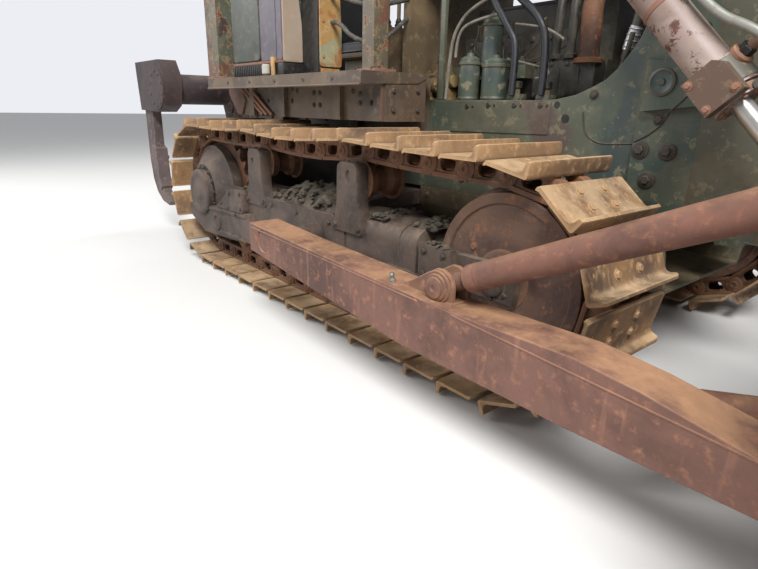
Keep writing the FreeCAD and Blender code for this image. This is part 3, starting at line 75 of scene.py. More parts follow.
def piece(name, shape, body, materials, smooth, bevel=None, replaces=()):
    """Make an object of a shape drawn in stations, give it its finish and a body to ride on."""
    mesh = bpy.data.meshes.new(name)
    mesh.from_pydata(shape.verts, [], shape.faces)
    mesh.transform(SHIFT)
    mesh.validate()
    for material in materials:
        mesh.materials.append(material)
    if len(materials) > 1:
        mesh.polygons.foreach_set("material_index", shape.marks)
    mesh.polygons.foreach_set("use_smooth", [True] * len(mesh.polygons))
    flip = bmesh.new()
    flip.from_mesh(mesh)
    bmesh.ops.recalc_face_normals(flip, faces=flip.faces)
    flip.to_mesh(mesh)
    flip.free()
    mesh.set_sharp_from_angle(angle=math.radians(smooth))
    thing = bpy.data.objects.new(name, mesh)
    bpy.context.scene.collection.objects.link(thing)
    if bevel:
        soften(thing, bevel)
    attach(thing, body)
    if replaces:
        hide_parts(*replaces)
    return thing


SOFTENED = 32  # degrees: flatter edges than this stay as they are


def soften(thing, width):
    """Break the sharp edges as wear and casting do."""
    bevel = thing.modifiers.new("edges", "BEVEL")
    bevel.width = width
    bevel.segments = 2
    bevel.limit_method = "ANGLE"
    bevel.angle_limit = math.radians(SOFTENED)
    bevel.harden_normals = True
    bevel.miter_outer = "MITER_ARC"


def block(low, high, chamfer=0.0):
    """A box between two corners; a chamfer cuts its twelve edges."""
    (x0, y0, z0), (x1, y1, z1) = low, high
    if not chamfer:
        verts = [(x, y, z) for x in (x0, x1) for y in (y0, y1) for z in (z0, z1)]
        return verts, [(0, 1, 3, 2), (4, 6, 7, 5), (0, 4, 5, 1), (2, 3, 7, 6), (0, 2, 6, 4),
            (1, 5, 7, 3)]
    solid = bmesh.new()
    bmesh.ops.create_cube(solid, size=1)
    for vert in solid.verts:
        vert.co = Vector(((x0 + x1) / 2 + vert.co.x * (x1 - x0),
                (y0 + y1) / 2 + vert.co.y * (y1 - y0), (z0 + z1) / 2 + vert.co.z * (z1 - z0)))
    bmesh.ops.bevel(solid, geom=solid.edges[:], offset=chamfer, segments=2, profile=0.6,
        affect="EDGES")
    return taken(solid)


def taken(solid):
    """The vertices and faces of a bmesh, which is then freed."""
    solid.verts.ensure_lookup_table()
    solid.verts.index_update()
    verts = [tuple(vert.co) for vert in solid.verts]
    faces = [[vert.index for vert in face.verts] for face in solid.faces]
    solid.free()
    return verts, faces


AXES = {"X": Matrix(((0, 0, 1), (1, 0, 0), (0, 1, 0))),
    "Y": Matrix(((0, 1, 0), (0, 0, 1), (1, 0, 0))), "Z": Matrix.Identity(3)}
RIGHT, DOWN = (0, -1, 0), (0, 0, -1)


def facing(axis, centre):
    """Turn the local Z onto a named axis or a direction, and move to a centre."""
    if isinstance(axis, str):
        turn = AXES[axis]
    else:
        turn = Vector(axis).to_track_quat("Z", "Y").to_matrix()
    return Matrix.Translation(Vector(centre)) @ turn.to_4x4()


def lathe(profile, axis, centre, steps):
    """Turn (radius, height) corners about an axis through a centre."""
    verts, faces = [], []
    matrix = facing(axis, centre)
    rings = []
    for radius, height in profile:
        if radius < 1e-6:
            rings.append([len(verts)])
            verts.append(tuple(matrix @ Vector((0, 0, height))))
            continue
        rings.append(list(range(len(verts), len(verts) + steps)))
        for step in range(steps):
            angle = 2 * math.pi * step / steps
            verts.append(tuple(
                    matrix @ Vector((radius * math.cos(angle), radius * math.sin(angle), height))))
    for low, high in zip(rings, rings[1:]):
        for step in range(steps):
            after = (step + 1) % steps
            if len(low) == 1:
                faces.append((low[0], high[after], high[step]))
            elif len(high) == 1:
                faces.append((low[step], low[after], high[0]))
            else:
                faces.append((low[step], low[after], high[after], high[step]))
    for ring, flip in ((rings[0], True), (rings[-1], False)):
        if len(ring) > 1:
            faces.append(tuple(reversed(ring)) if flip else tuple(ring))
    return verts, faces


def rod(axis, centre, radius, length, steps, chamfer=0.002):
    """A cylinder that starts at a centre, with chamfered ends."""
    return lathe([(radius - chamfer, 0), (radius, chamfer), (radius, length - chamfer),
            (radius - chamfer, length)], axis, centre, steps)


def bolt(axis, centre, radius, tall):
    """A hexagon head on a washer, seated at a centre and pointing along an axis."""
    head = lathe([(radius * 0.99, -0.001), (radius, tall * 0.8), (radius * 0.8, tall)], axis,
        centre, 6)
    washer = lathe([(radius * 1.4, -0.001), (radius * 1.4, tall * 0.22)], axis, centre, 14)
    both = Shape().add(0, head, washer)
    return both.verts, both.faces


# How an outline's two coordinates and the height across its plane make a point
SPREAD = {"XZ": lambda u, v, w: (u, w, v), "YZ": lambda u, v, w: (w, u, v), "XY": lambda u, v,
    w: (u, v, w)}


def prism(outline, low, high, plane="XZ"):
    """A flat outline made thick across its plane."""
    spread = SPREAD[plane]
    count = len(outline)
    verts = [spread(u, v, low) for u, v in outline] + [spread(u, v, high) for u, v in outline]
    faces = [tuple(range(count)), tuple(range(2 * count - 1, count - 1, -1))]
    faces += [(index, (index + 1) % count, count + (index + 1) % count, count + index) for index
        in range(count)]
    return verts, faces


def arc(x, z, radius, steps, start, end):
    """Points on a circle from one angle to another, both ends included."""
    turns = [start + (end - start) * step / (steps - 1) for step in range(steps)]
    return [(x + radius * math.cos(turn), z + radius * math.sin(turn)) for turn in turns]


def rounded(corners, radius, steps=4):
    """An outline of straight sides with its corners rounded."""
    result = []
    count = len(corners)
    for index in range(count):
        here = Vector(corners[index])
        before, after = Vector(corners[index - 1]), Vector(corners[(index + 1) % count])
        reach = min(radius, (before - here).length * 0.45, (after - here).length * 0.45)
        start = here + (before - here).normalized() * reach
        end = here + (after - here).normalized() * reach
        for step in range(steps + 1):
            part = step / steps
            point = start * (1 - part) ** 2 + here * 2 * part * (1 - part) + end * part ** 2
            result.append((point.x, point.y))
    return result


def curve_mesh(curve):
    """The vertices and faces that a curve makes; the curve is then removed."""
    thing = bpy.data.objects.new("curve", curve)
    mesh = bpy.data.meshes.new_from_object(thing)
    verts = [tuple(vert.co) for vert in mesh.vertices]
    faces = [tuple(face.vertices) for face in mesh.polygons]
    bpy.data.objects.remove(thing)
    bpy.data.curves.remove(curve)
    bpy.data.meshes.remove(mesh)
    return verts, faces


def plate(outlines, low, high, plane, edge):
    """A flat plate with holes: the first outline is its rim, the others are its holes."""
    curve = bpy.data.curves.new("plate", "CURVE")
    curve.dimensions = "2D"
    curve.fill_mode = "BOTH"
    curve.extrude = (high - low) / 2 - edge
    curve.bevel_depth = edge
    curve.bevel_resolution = 1
    curve.offset = -edge
    for outline in outlines:
        spline = curve.splines.new("POLY")
        spline.points.add(len(outline) - 1)
        for point, (u, v) in zip(spline.points, outline):
            point.co = (u, v, 0, 1)
        spline.use_cyclic_u = True
    middle = (low + high) / 2
    verts, faces = curve_mesh(curve)
    return [SPREAD[plane](x, y, middle + z) for x, y, z in verts], faces


def panel(x0, x1, z0, z1, radius, low, high, edge, plane="XZ"):
    """A flat rectangle with rounded corners."""
    rim = rounded([(x0, z0), (x1, z0), (x1, z1), (x0, z1)], radius)
    return plate([rim], low, high, plane, edge)


def bar(start, end, radius, steps, chamfer):
    """A round bar between two points."""
    start, end = Vector(start), Vector(end)
    return rod(tuple(end - start), start, radius, (end - start).length, steps, chamfer)


def smooth_curve(name, points, radius, steps, turns):
    """A round section led along a smooth line past its corner points."""
    curve = bpy.data.curves.new(name, "CURVE")
    curve.dimensions = "3D"
    curve.bevel_depth = radius
    curve.bevel_resolution = steps
    curve.use_fill_caps = True
    spline = curve.splines.new("NURBS")
    spline.points.add(len(points) - 1)
    for target, point in zip(spline.points, points):
        target.co = (*point, 1)
    spline.order_u = 3
    spline.use_endpoint_u = True
    spline.resolution_u = turns
    return curve, spline


def pipe(points, radius, steps, turns=6):
    """A bent metal pipe past its corner points."""
    return curve_mesh(smooth_curve("pipe", points, radius, max(1, steps // 4), turns)[0])


def both_sides(shape):
    """The shape with its mirror image across the machine's middle plane."""
    twin = Shape()
    twin.join(shape)
    start = len(twin.verts)
    twin.verts += [(x, -y, z) for x, y, z in shape.verts]
    twin.faces += [[start + index for index in reversed(face)] for face in shape.faces]
    twin.marks += shape.marks
    return twin


# --- materials

def rgb(text):
    """A linear colour from its six hexadecimal digits."""
    parts = [int(text[index:index + 2], 16) / 255 for index in (0, 2, 4)]
    return tuple(p / 12.92 if p <= 0.04045 else ((p + 0.055) / 1.055) ** 2.4 for p in parts) + (1,)


class Finish:
    """A material with short names for the nodes that it is made of."""

    def __init__(self, name, metallic=0.0):
        self.material = bpy.data.materials.new(name)
        self.material.use_nodes = True
        self.tree = self.material.node_tree
        self.shader = self.tree.nodes["Principled BSDF"]
        self.shader.inputs["Metallic"].default_value = metallic
        self.place = self.make("ShaderNodeTexCoord").outputs["Object"]
        self.geometry = self.make("ShaderNodeNewGeometry")
        self.heights = []

    def make(self, kind, **inputs):
        node = self.tree.nodes.new(kind)
        for key, given in inputs.items():
            self.feed(node.inputs[key], given)
        return node

    def feed(self, socket, given):
        if isinstance(given, bpy.types.NodeSocket):
            self.tree.links.new(given, socket)
        else:
            socket.default_value = given

    def noise(self, scale, detail, rough, warp=0.0, stretch=None):
        place = self.place
        if stretch:
            place = self.make("ShaderNodeMapping", Vector=place, Scale=stretch).outputs[0]
        return self.make("ShaderNodeTexNoise", Vector=place, Scale=scale, Detail=detail,
            Roughness=rough, Distortion=warp).outputs["Fac"]

    def cells(self, scale):
        node = self.make("ShaderNodeTexVoronoi", Vector=self.place, Scale=scale)
        node.feature = "DISTANCE_TO_EDGE"
        return node.outputs["Distance"]

    def math(self, how, a, b):
        node = self.make("ShaderNodeMath")
        node.operation = how
        node.use_clamp = True
        self.feed(node.inputs[0], a)
        self.feed(node.inputs[1], b)
        return node.outputs[0]

    def ramp(self, factor, low, high):
        """A soft threshold: 0 below low, 1 above high."""
        node = self.make("ShaderNodeMapRange", Value=factor)
        node.inputs["From Min"].default_value = low
        node.inputs["From Max"].default_value = high
        node.interpolation_type = "SMOOTHSTEP"
        return node.outputs[0]

    def mix(self, factor, a, b):
        node = self.make("ShaderNodeMix")
        node.data_type = "RGBA"
        self.feed(node.inputs[0], factor)
        self.feed(node.inputs[6], a)
        self.feed(node.inputs[7], b)
        return node.outputs[2]

    def blend(self, factor, a, b):
        node = self.make("ShaderNodeMix")
        self.feed(node.inputs[0], factor)
        self.feed(node.inputs[2], a)
        self.feed(node.inputs[3], b)
        return node.outputs[0]

    def facing_up(self, low=0.35, high=0.95):
        split = self.make("ShaderNodeSeparateXYZ", Vector=self.geometry.outputs["Normal"])
        return self.ramp(split.outputs["Z"], low, high)

    def hollows_dirt_and_shade(self, reach=0.08):
        """Near 1 in corners and hollows, from ambient occlusion, near 0 on open faces: it marks
        where dirt fills them, and where painted shade is laid.
        """
        node = self.make("ShaderNodeAmbientOcclusion", Distance=reach)
        node.samples = 6
        return self.ramp(node.outputs["AO"], 0.95, 0.45)

    def rim(self):
        """Near 1 on outer edges, where the surface is rubbed."""
        return self.ramp(self.geometry.outputs["Pointiness"], 0.52, 0.62)

    def raise_by(self, height, strength, depth):
        self.heights.append((height, strength, depth))

    def done(self, colour, roughness):
        self.feed(self.shader.inputs["Base Color"], colour)
        self.feed(self.shader.inputs["Roughness"], roughness)
        normal = None
        for height, strength, depth in self.heights:
            node = self.make("ShaderNodeBump", Height=height, Strength=strength, Distance=depth)
            if normal:
                self.feed(node.inputs["Normal"], normal)
            normal = node.outputs[0]
        if normal:
            self.feed(self.shader.inputs["Normal"], normal)
        return self.material

    def share(self, colour, factor, amount, tone):
        """Mix a tone over a colour where a factor says so, up to an amount."""
        return self.mix(self.math("MULTIPLY", factor, amount), colour, rgb(tone))


def rusted(name, dark, middle, light, dust, dust_share, grain, scratch):
    """Bare steel under old rust: blotches of three tones, pits, rubbed edges, dust on top."""
    f = Finish(name)
    wide = f.noise(2.1 * grain, 5, 0.62, 0.4)
    fine = f.noise(23 * grain, 6, 0.7)
    grit = f.noise(150 * grain, 3, 0.6)
    colour = f.mix(f.ramp(wide, 0.36, 0.6), rgb(dark), rgb(middle))
    colour = f.share(colour, f.ramp(fine, 0.5, 0.72), 0.75, light)
    colour = f.share(colour, f.ramp(grit, 0.55, 0.75), 0.35, dark)
    streak = f.noise(34 * grain, 2, 0.5, 0, (1, 1, 0.12))
    colour = f.share(colour, f.ramp(streak, 0.58, 0.78), scratch, light)
    settled = f.math("MULTIPLY", f.facing_up(), f.ramp(f.noise(5 * grain, 5, 0.65), 0.3, 0.62))
    lodged = f.math("MULTIPLY", f.hollows_dirt_and_shade(), 0.55)
    dusty = f.math("MULTIPLY", f.math("MAXIMUM", settled, lodged), dust_share)
    colour = f.mix(dusty, colour, rgb(dust))
    colour = f.share(colour, f.rim(), 0.5, light)
    rough = f.blend(f.ramp(fine, 0.35, 0.7), 0.62, 0.88)
    f.raise_by(wide, 0.25, 0.004)
    f.raise_by(fine, 0.35, 0.0015)
    f.raise_by(grit, 0.3, 0.0006)
    return f.done(colour, rough)


def painted(name, tones, rust, chip, dust, dust_share, chips, gloss, patch, rust_share=0.5):
    """Faded paint in soft-edged fields, chipped to primer and rust, with dust and streaks."""
    f = Finish(name)
    colour = rgb(tones[0])
    for index, tone in enumerate(tones[1:]):
        field = f.noise(patch * (1 + 0.37 * index) + index * 0.11, 3, 0.5, 0.5)
        colour = f.mix(f.ramp(field, 0.5 + 0.02 * index, 0.54 + 0.02 * index), colour, rgb(tone))
    fade = f.noise(7, 6, 0.7)
    colour = f.share(colour, f.ramp(fade, 0.45, 0.75), 0.4, dust)
    flake = f.noise(19, 7, 0.72, 0.3)
    bare = f.ramp(flake, 0.62 - 0.05 * chips, 0.64 - 0.05 * chips)
    skirt = f.ramp(flake, 0.58 - 0.05 * chips, 0.63 - 0.05 * chips)
    colour = f.share(colour, skirt, 0.75, chip)
    rusty = f.mix(f.ramp(f.noise(55, 5, 0.7), 0.4, 0.65), rgb(rust), rgb("3d241a"))
    colour = f.mix(f.math("MULTIPLY", bare, chips), colour, rusty)
    weep = f.noise(16, 4, 0.55, 0, (1, 1, 0.1))
    colour = f.share(colour, f.ramp(weep, 0.56, 0.8), rust_share * 0.5, rust)
    colour = f.share(colour, f.rim(), 0.65, rust)
    settled = f.math("MULTIPLY", f.facing_up(), f.ramp(f.noise(6, 5, 0.65), 0.28, 0.6))
    lodged = f.math("MULTIPLY", f.hollows_dirt_and_shade(), 0.6)
    dusty = f.math("MULTIPLY", f.math("MAXIMUM", settled, lodged), dust_share)
    colour = f.mix(dusty, colour, rgb(dust))
    rough = f.blend(bare, gloss, 0.85)
    f.raise_by(bare, -0.35, 0.0008)
    f.raise_by(fade, 0.2, 0.002)
    f.raise_by(f.noise(120, 3, 0.6), 0.12, 0.0005)
    return f.done(colour, rough)


def dusty_iron(name, base, grease, dust, dust_share, gloss):
    """A cast housing: sand-cast grain, old grease in dark runs, and dust that sticks to it."""
    f = Finish(name)
    wide = f.noise(3.1, 5, 0.62, 0.5)
    fine = f.noise(40, 6, 0.7)
    colour = f.mix(f.ramp(wide, 0.38, 0.62), rgb(base), rgb(grease))
    cake = f.ramp(f.noise(6.5, 6, 0.7), 0.42, 0.62)
    settled = f.math("MAXIMUM", f.math("MULTIPLY", f.facing_up(0.2, 0.8), cake),
        f.math("MULTIPLY", f.hollows_dirt_and_shade(0.12), cake))
    colour = f.share(colour, settled, dust_share, dust)
    colour = f.share(colour, f.ramp(fine, 0.5, 0.75), 0.35, dust)
    rough = f.blend(settled, gloss, 0.95)
    f.raise_by(wide, 0.2, 0.005)
    f.raise_by(fine, 0.45, 0.0018)
    f.raise_by(f.noise(170, 3, 0.6), 0.25, 0.0006)
    return f.done(colour, rough)


def clods(name, low, high):
    """Dry earth in lumps: dark earth tones that are partly painted shade, and painted shade in the
    hollows between the lumps.
    """
    f = Finish(name)
    lump = f.noise(14, 8, 0.75)
    colour = f.mix(f.ramp(lump, 0.3, 0.7), rgb(low), rgb(high))
    # Painted shade: the dark earth tone laid into the hollows between lumps, where shade falls.
    colour = f.share(colour, f.hollows_dirt_and_shade(0.05), 0.6, low)
    f.raise_by(lump, 0.8, 0.012)
    f.raise_by(f.noise(90, 5, 0.7), 0.6, 0.003)
    return f.done(colour, 0.97)


def rubber(name, base, dust, dust_share=0.35):
    """Old rubber: nearly black, dull, with dust in a fine weave of cracks."""
    f = Finish(name)
    wear = f.noise(30, 6, 0.7)
    colour = f.share(rgb(base), f.ramp(wear, 0.45, 0.75), dust_share, dust)
    f.raise_by(f.noise(220, 2, 0.5), 0.25, 0.0006)
    return f.done(colour, f.blend(f.ramp(wear, 0.4, 0.7), 0.45, 0.75))


def bright(name, base, spot, rough, spots):
    """Bare bright steel with tarnish and specks of rust."""
    f = Finish(name, metallic=0.85)
    tarnish = f.noise(12, 6, 0.7)
    colour = f.share(rgb(base), f.ramp(tarnish, 0.5, 0.7), spots, spot)
    f.raise_by(f.noise(90, 3, 0.6, 0, (1, 1, 0.2)), 0.1, 0.0004)
    return f.done(colour, f.blend(f.ramp(tarnish, 0.4, 0.7), rough, rough + 0.3))


def vinyl(name, base, worn):
    """Seat vinyl with a pressed grain, paler where it has been sat on."""
    f = Finish(name)
    grain = f.cells(320)
    wear = f.noise(6, 6, 0.7)
    colour = f.share(rgb(base), f.ramp(wear, 0.5, 0.75), 0.6, worn)
    f.raise_by(grain, 0.3, 0.0006)
    f.raise_by(f.noise(9, 3, 0.5), 0.3, 0.006)
    return f.done(colour, f.blend(f.ramp(wear, 0.4, 0.7), 0.42, 0.6))


def glass(name):
    """Lamp glass, ribbed and dusty."""
    f = Finish(name)
    f.shader.inputs["Transmission Weight"].default_value = 0.55
    f.shader.inputs["IOR"].default_value = 1.5
    haze = f.noise(25, 4, 0.6)
    f.raise_by(f.noise(60, 1, 0.3, 0, (0.1, 6, 0.1)), 0.5, 0.002)
    return f.done(f.mix(f.ramp(haze, 0.4, 0.7), rgb("c9cdc8"), rgb("8f8a7c")),
        f.blend(haze, 0.15, 0.5))


SHOE = rusted("track_shoe", "46342a", "80603f", "b5926a", "c0a582", 0.66, 1.3, 0.35)
LINK = rusted("track_link", "2f1f17", "5e3d2a", "8a5a36", "7d6145", 0.5, 1.6, 0.2)
ARM = rusted("arm_rust", "4a322a", "6b4a3f", "946852", "b08762", 0.6, 1.0, 0.4)
BRACE = rusted("brace_rust", "462d25", "6a4538", "8c6049", "96745a", 0.4, 1.2, 0.15)
BLADE = rusted("blade_rust", "452d24", "6c4737", "94684d", "a08262", 0.45, 0.9, 0.5)
EDGE = rusted("edge_steel", "4a4038", "776a5d", "a29788", "a88f70", 0.3, 1.4, 0.6)
IDLER = rusted("idler_rust", "44302a", "644a3b", "8f6344", "7a6655", 0.4, 1.2, 0.1)
RIPPER = rusted("ripper_steel", "241c1e", "3a2e2f", "5c4741", "7a6a5c", 0.4, 1.1, 0.3)
SHANK = rusted("shank_steel", "3c3233", "5c4e4c", "84736a", "9a8874", 0.4, 1.2, 0.45)
FRAME = dusty_iron("frame_casting", "4b3d34", "2f2520", "746556", 0.7, 0.7)
FINAL = dusty_iron("final_casting", "51423a", "352a25", "7a6a5b", 0.6, 0.7)
CASE = dusty_iron("case_casting", "3d352e", "26211d", "6b5f50", 0.7, 0.6)
# The engine's iron tones: partly its own dark colour, and taken darker as painted shade of the bay
# under the hood.
ENGINE = dusty_iron("engine_iron", "2f2d25", "191712", "5a5344", 0.75, 0.5)
PUMP = dusty_iron("pump_iron", "75603a", "46371f", "9c845a", 0.6, 0.55)
CAMO = painted("camo_paint", ("414c3d", "553a2e", "2f2d29", "4a5547"), "6e3a29", "a3956f",
    "857a62", 0.35, 0.95, 0.55, 3.3)
GREEN = painted("green_paint", ("37443a", "414c40", "33403f"), "5f3d2b", "858167", "7d7860", 0.4,
    0.35, 0.5, 1.1)
CANISTER = painted("canister_paint", ("3f4d45", "46524a"), "5f4a33", "7c7c68", "6f6b58", 0.4, 0.2,
    0.5, 2.1)
FLANK = painted("flank_paint", ("3f4a40", "4b4f42", "33413f", "4c423c"), "63452f", "7c775e",
    "7a745d", 0.3, 0.25, 0.5, 0.8, 0.35)
OLIVE = painted("olive_paint", ("554d3a", "635740", "494634"), "65452f", "867a5c", "8d7d60", 0.55,
    0.35, 0.6, 1.3)
DARK_BOX = painted("box_paint", ("26332c", "2d3a33", "202a25"), "5c3a28", "6c6a56", "67665a", 0.3,
    0.2, 0.42, 1.7)
COVER = painted("cover_paint", ("4d4954", "45424c"), "6b4a3c", "706b70", "74707a", 0.35, 0.25, 0.5,
    1.9)
STRIP = painted("strip_paint", ("8c7f7d", "958675"), "835538", "ab9a84", "a09184", 0.35, 0.4, 0.5,
    2.6)
TAN = painted("tan_panel", ("a27f4e", "b08a52", "8c8f72", "95683c"), "7a4628", "c2ad7c", "ab9068",
    0.35, 0.5, 0.5, 3.4)
PALE = painted("pale_plastic", ("b9b9b2", "aeb0aa"), "8a7a66", "cfcfc8", "9c968a", 0.4, 0.2, 0.4,
    2.2)
PRIMER = painted("barrel_primer", ("85736b", "918077", "766259"), "573024", "4c2c22", "9c8d80",
    0.3, 0.7, 0.5, 2.0, 0.75)
SKIRT = painted("skirt_paint", ("4f4336", "5a4b3b", "433a33"), "5f3f2c", "776650", "7b6b57", 0.5,
    0.35, 0.6, 1.5)
HOSE = rubber("hose_rubber", "14161c", "45423f")
GREY_HOSE = rubber("grey_hose", "4a4641", "8d877b", 0.6)
SEAL = rubber("black_rubber", "1b1a19", "4b463f", 0.45)
CHROME = bright("rod_chrome", "b5b2ad", "7b5a44", 0.28, 0.45)
LINE = bright("steel_line", "8e8d86", "7c6c5a", 0.5, 0.5)
DULL_LINE = rusted("dull_line", "3b3832", "6d675c", "8e887b", "8a8272", 0.4, 3.0, 0.2)
NOSE = painted("nose_paint", ("3b463c", "434a3e", "35423c", "474a3d"), "5f4734", "76745c",
    "726c58", 0.35, 0.3, 0.5, 2.7)
FOIL = bright("pipe_wrap", "b9bbbe", "77726c", 0.42, 0.5)
# Earth tones partly the earth's own dark colour and partly painted shade, darker than the earth
# itself.
CLODS = clods("dry_earth", "2b2621", "5f5547")
VINYL = vinyl("seat_vinyl", "1d1c1c", "3f3b38")
GLASS = glass("lamp_glass")

# --- the CAD model's own finish

FINISHES = {"track_right": SHOE, "track_left": SHOE, "sprockets": LINK, "outer_bearings": FINAL,
    "track_frames": FRAME, "idlers": IDLER, "rollers": LINK, "push_arms": ARM, "braces": BRACE,
    "blade": BLADE, "cutting_edge": EDGE, "lift_barrel_right": PRIMER, "lift_barrel_left": PRIMER,
    "lift_rod_right": CHROME, "lift_rod_left": CHROME, "rear_case": CASE, "side_frames": FLANK,
    "belly_guard": OLIVE, "equalizer_bar": FRAME, "nose_guard": NOSE, "radiator": OLIVE,
    "engine": ENGINE, "fan": ENGINE, "fuel_filters": GREEN, "exhaust": LINK, "hood": GREEN,
    "controls": OLIVE, "fenders": SKIRT, "deck": OLIVE, "battery_box": DARK_BOX,
    "battery_lid": DARK_BOX, "hydraulic_tank": GREEN, "fuel_tank": GREEN, "seat": VINYL,
    "canopy_frame": CAMO, "canopy_roof": CAMO, "ripper_bracket": RIPPER, "ripper_arms": RIPPER,
    "ripper_links": RIPPER, "ripper_beam": RIPPER, "ripper_shanks": SHANK,
    "ripper_barrel_right": PRIMER, "ripper_barrel_left": PRIMER, "ripper_rod_right": CHROME,
    "ripper_rod_left": CHROME}
EDGE_WEAR = {"push_arms": 0.006, "blade": 0.004, "canopy_frame": 0.006, "canopy_roof": 0.006,
    "fenders": 0.002, "deck": 0.002, "battery_box": 0.004, "battery_lid": 0.006,
    "hydraulic_tank": 0.012, "fuel_tank": 0.014, "ripper_shanks": 0.006, "ripper_beam": 0.005,
    "rear_case": 0.012, "engine": 0.006, "hood": 0.003, "sprockets": 0.002, "fan": 0.002,
    "radiator": 0.002}

for name, finish in FINISHES.items():
    thing = NODES[name]
    for slot in thing.material_slots:
        slot.material = finish
    mesh = thing.data
    if "custom_normal" in mesh.attributes:
        mesh.attributes.remove(mesh.attributes["custom_normal"])
    mesh.polygons.foreach_set("use_smooth", [True] * len(mesh.polygons))
    weld = thing.modifiers.new("weld", "WELD")
    weld.merge_threshold = 0.00002
    soften(thing, EDGE_WEAR.get(name, 0.003))


# --- tracks

PITCH, SHOES = 0.203, 38
RAIL_HALF, PLATE, GROUSER = 0.05, 0.013, 0.05
TRACK_Y, SHOE_WIDE = 0.94, 0.508
PIN_LOW = RAIL_HALF + PLATE + GROUSER
WHEEL_PITCHES, IDLER_TREAD, ROLLER = 12.5, 0.33, 0.108
WHEEL = PITCH / (2 * math.sin(math.pi / WHEEL_PITCHES))
IDLER_PIN = math.hypot(IDLER_TREAD + RAIL_HALF, PITCH / 2)
WHEEL_Z, IDLER_Z = PIN_LOW + WHEEL, PIN_LOW + IDLER_PIN
CARRIER_X, SAG = (0.78, 1.72), 0.028


def hang(start, end, sag):
    """A shallow hanging curve between two points, without its end."""
    steps = 40
    return [(start[0] + (end[0] - start[0]) * step / steps, start[1] + (end[1] - start[1]) * step
            / steps - 4 * sag * step / steps * (1 - step / steps)) for step in range(steps)]


def pin_line(front_x):
    """The closed line that the link pins follow, from under the sprocket, forward and round."""
    top = PIN_LOW + 2 * WHEEL
    half = math.pi / 2
    front = arc(front_x, IDLER_Z, IDLER_PIN, 91, -half, half)
    over1, over2 = (CARRIER_X[0], top), (CARRIER_X[1], top)
    return (hang((0, PIN_LOW), front[0], 0) + front + hang(front[-1], over2, SAG / 4) + hang(over2,
            over1, SAG) + hang(over1, (0, top), SAG / 2) + arc(0, WHEEL_Z, WHEEL, 91, half,
            3 * half))


def walk(line):
    """Step chords of one pitch along a line, and say how far the last lies from the start."""
    pins, index = [line[0]], 1
    while len(pins) < SHOES:
        here = pins[-1]
        while index < len(line) and math.dist(here, line[index]) < PITCH:
            index += 1
        if index == len(line):
            return pins, -PITCH
        low, high = 0.0, 1.0
        before, after = line[index - 1], line[index]
        for _ in range(40):
            part = (low + high) / 2
            point = tuple(b + (a - b) * part for a, b in zip(after, before))
            low, high = (part, high) if math.dist(here, point) < PITCH else (low, part)
        pins.append(point)
    return pins, math.dist(pins[-1], line[-1]) - PITCH


def close_chain():
    """Find the idler's place where the chain's last link just closes."""
    low, high = (SHOES / 2 - 8) * PITCH, (SHOES / 2 - 4) * PITCH
    for _ in range(50):
        middle = (low + high) / 2
        pins, error = walk(pin_line(middle))
        low, high = (low, middle) if error > 0 else (middle, high)
    return middle, pins


IDLER_X, PINS = close_chain()

# One link, drawn along its own pitch: u along, y across, w out towards the shoe


def link_shape():
    shape = Shape()
    for side in (-1, 1):
        def across(low, high):
            return sorted((side * low, side * high))
        head = across(0.051, 0.095)
        shape.add(0, block((-0.018, head[0], -RAIL_HALF), (PITCH - 0.022, head[1], -0.03), 0.004),
            block((0.012, head[0], 0.034), (PITCH - 0.014, head[1], RAIL_HALF), 0.004))
        web = across(0.06, 0.086)
        rim = rounded([(-0.012, -0.04), (PITCH - 0.028, -0.04), (PITCH + 0.004, -0.02),
                (PITCH + 0.002, 0.03), (PITCH - 0.022, 0.04), (0.018, 0.04), (-0.01, 0.02)], 0.014,
            3)
        window = rounded([(0.062, -0.022), (0.136, -0.022), (0.146, 0.026), (0.056, 0.026)], 0.02,
            4)
        shape.add(0, plate([rim, window], web[0], web[1], "XZ", 0.003))
        inner, outer = across(0.05, 0.073), across(0.0735, 0.0965)
        shape.add(0,
            lathe([(0.04, 0), (0.046, 0.005), (0.046, 0.019), (0.042, 0.023)], "Y",
                (0, inner[0], 0), 22),
            lathe([(0.042, 0), (0.046, 0.004), (0.046, 0.018), (0.04, 0.0225)] if side > 0 else [
                    (0.04, 0.0005), (0.046, 0.005), (0.046, 0.019), (0.042, 0.023)], "Y",
                (PITCH, outer[0], 0), 22))
        cap = side * 0.0965
        shape.add(0,
            lathe([(0.023, -0.006), (0.023, 0.002), (0.02, 0.0045), (0.008, 0.0045),
                    (0.006, 0.001), (0.0, 0.001)], (0, side, 0), (PITCH, cap, 0), 16))
        for u in (0.07, 0.132):
            shape.add(0, bolt(DOWN, (u, side * 0.073, 0.034), 0.013, 0.011))
    shape.add(0, lathe([(0.03, -0.051), (0.03, 0.051)], "Y", (0, 0, 0), 18))
    return shape


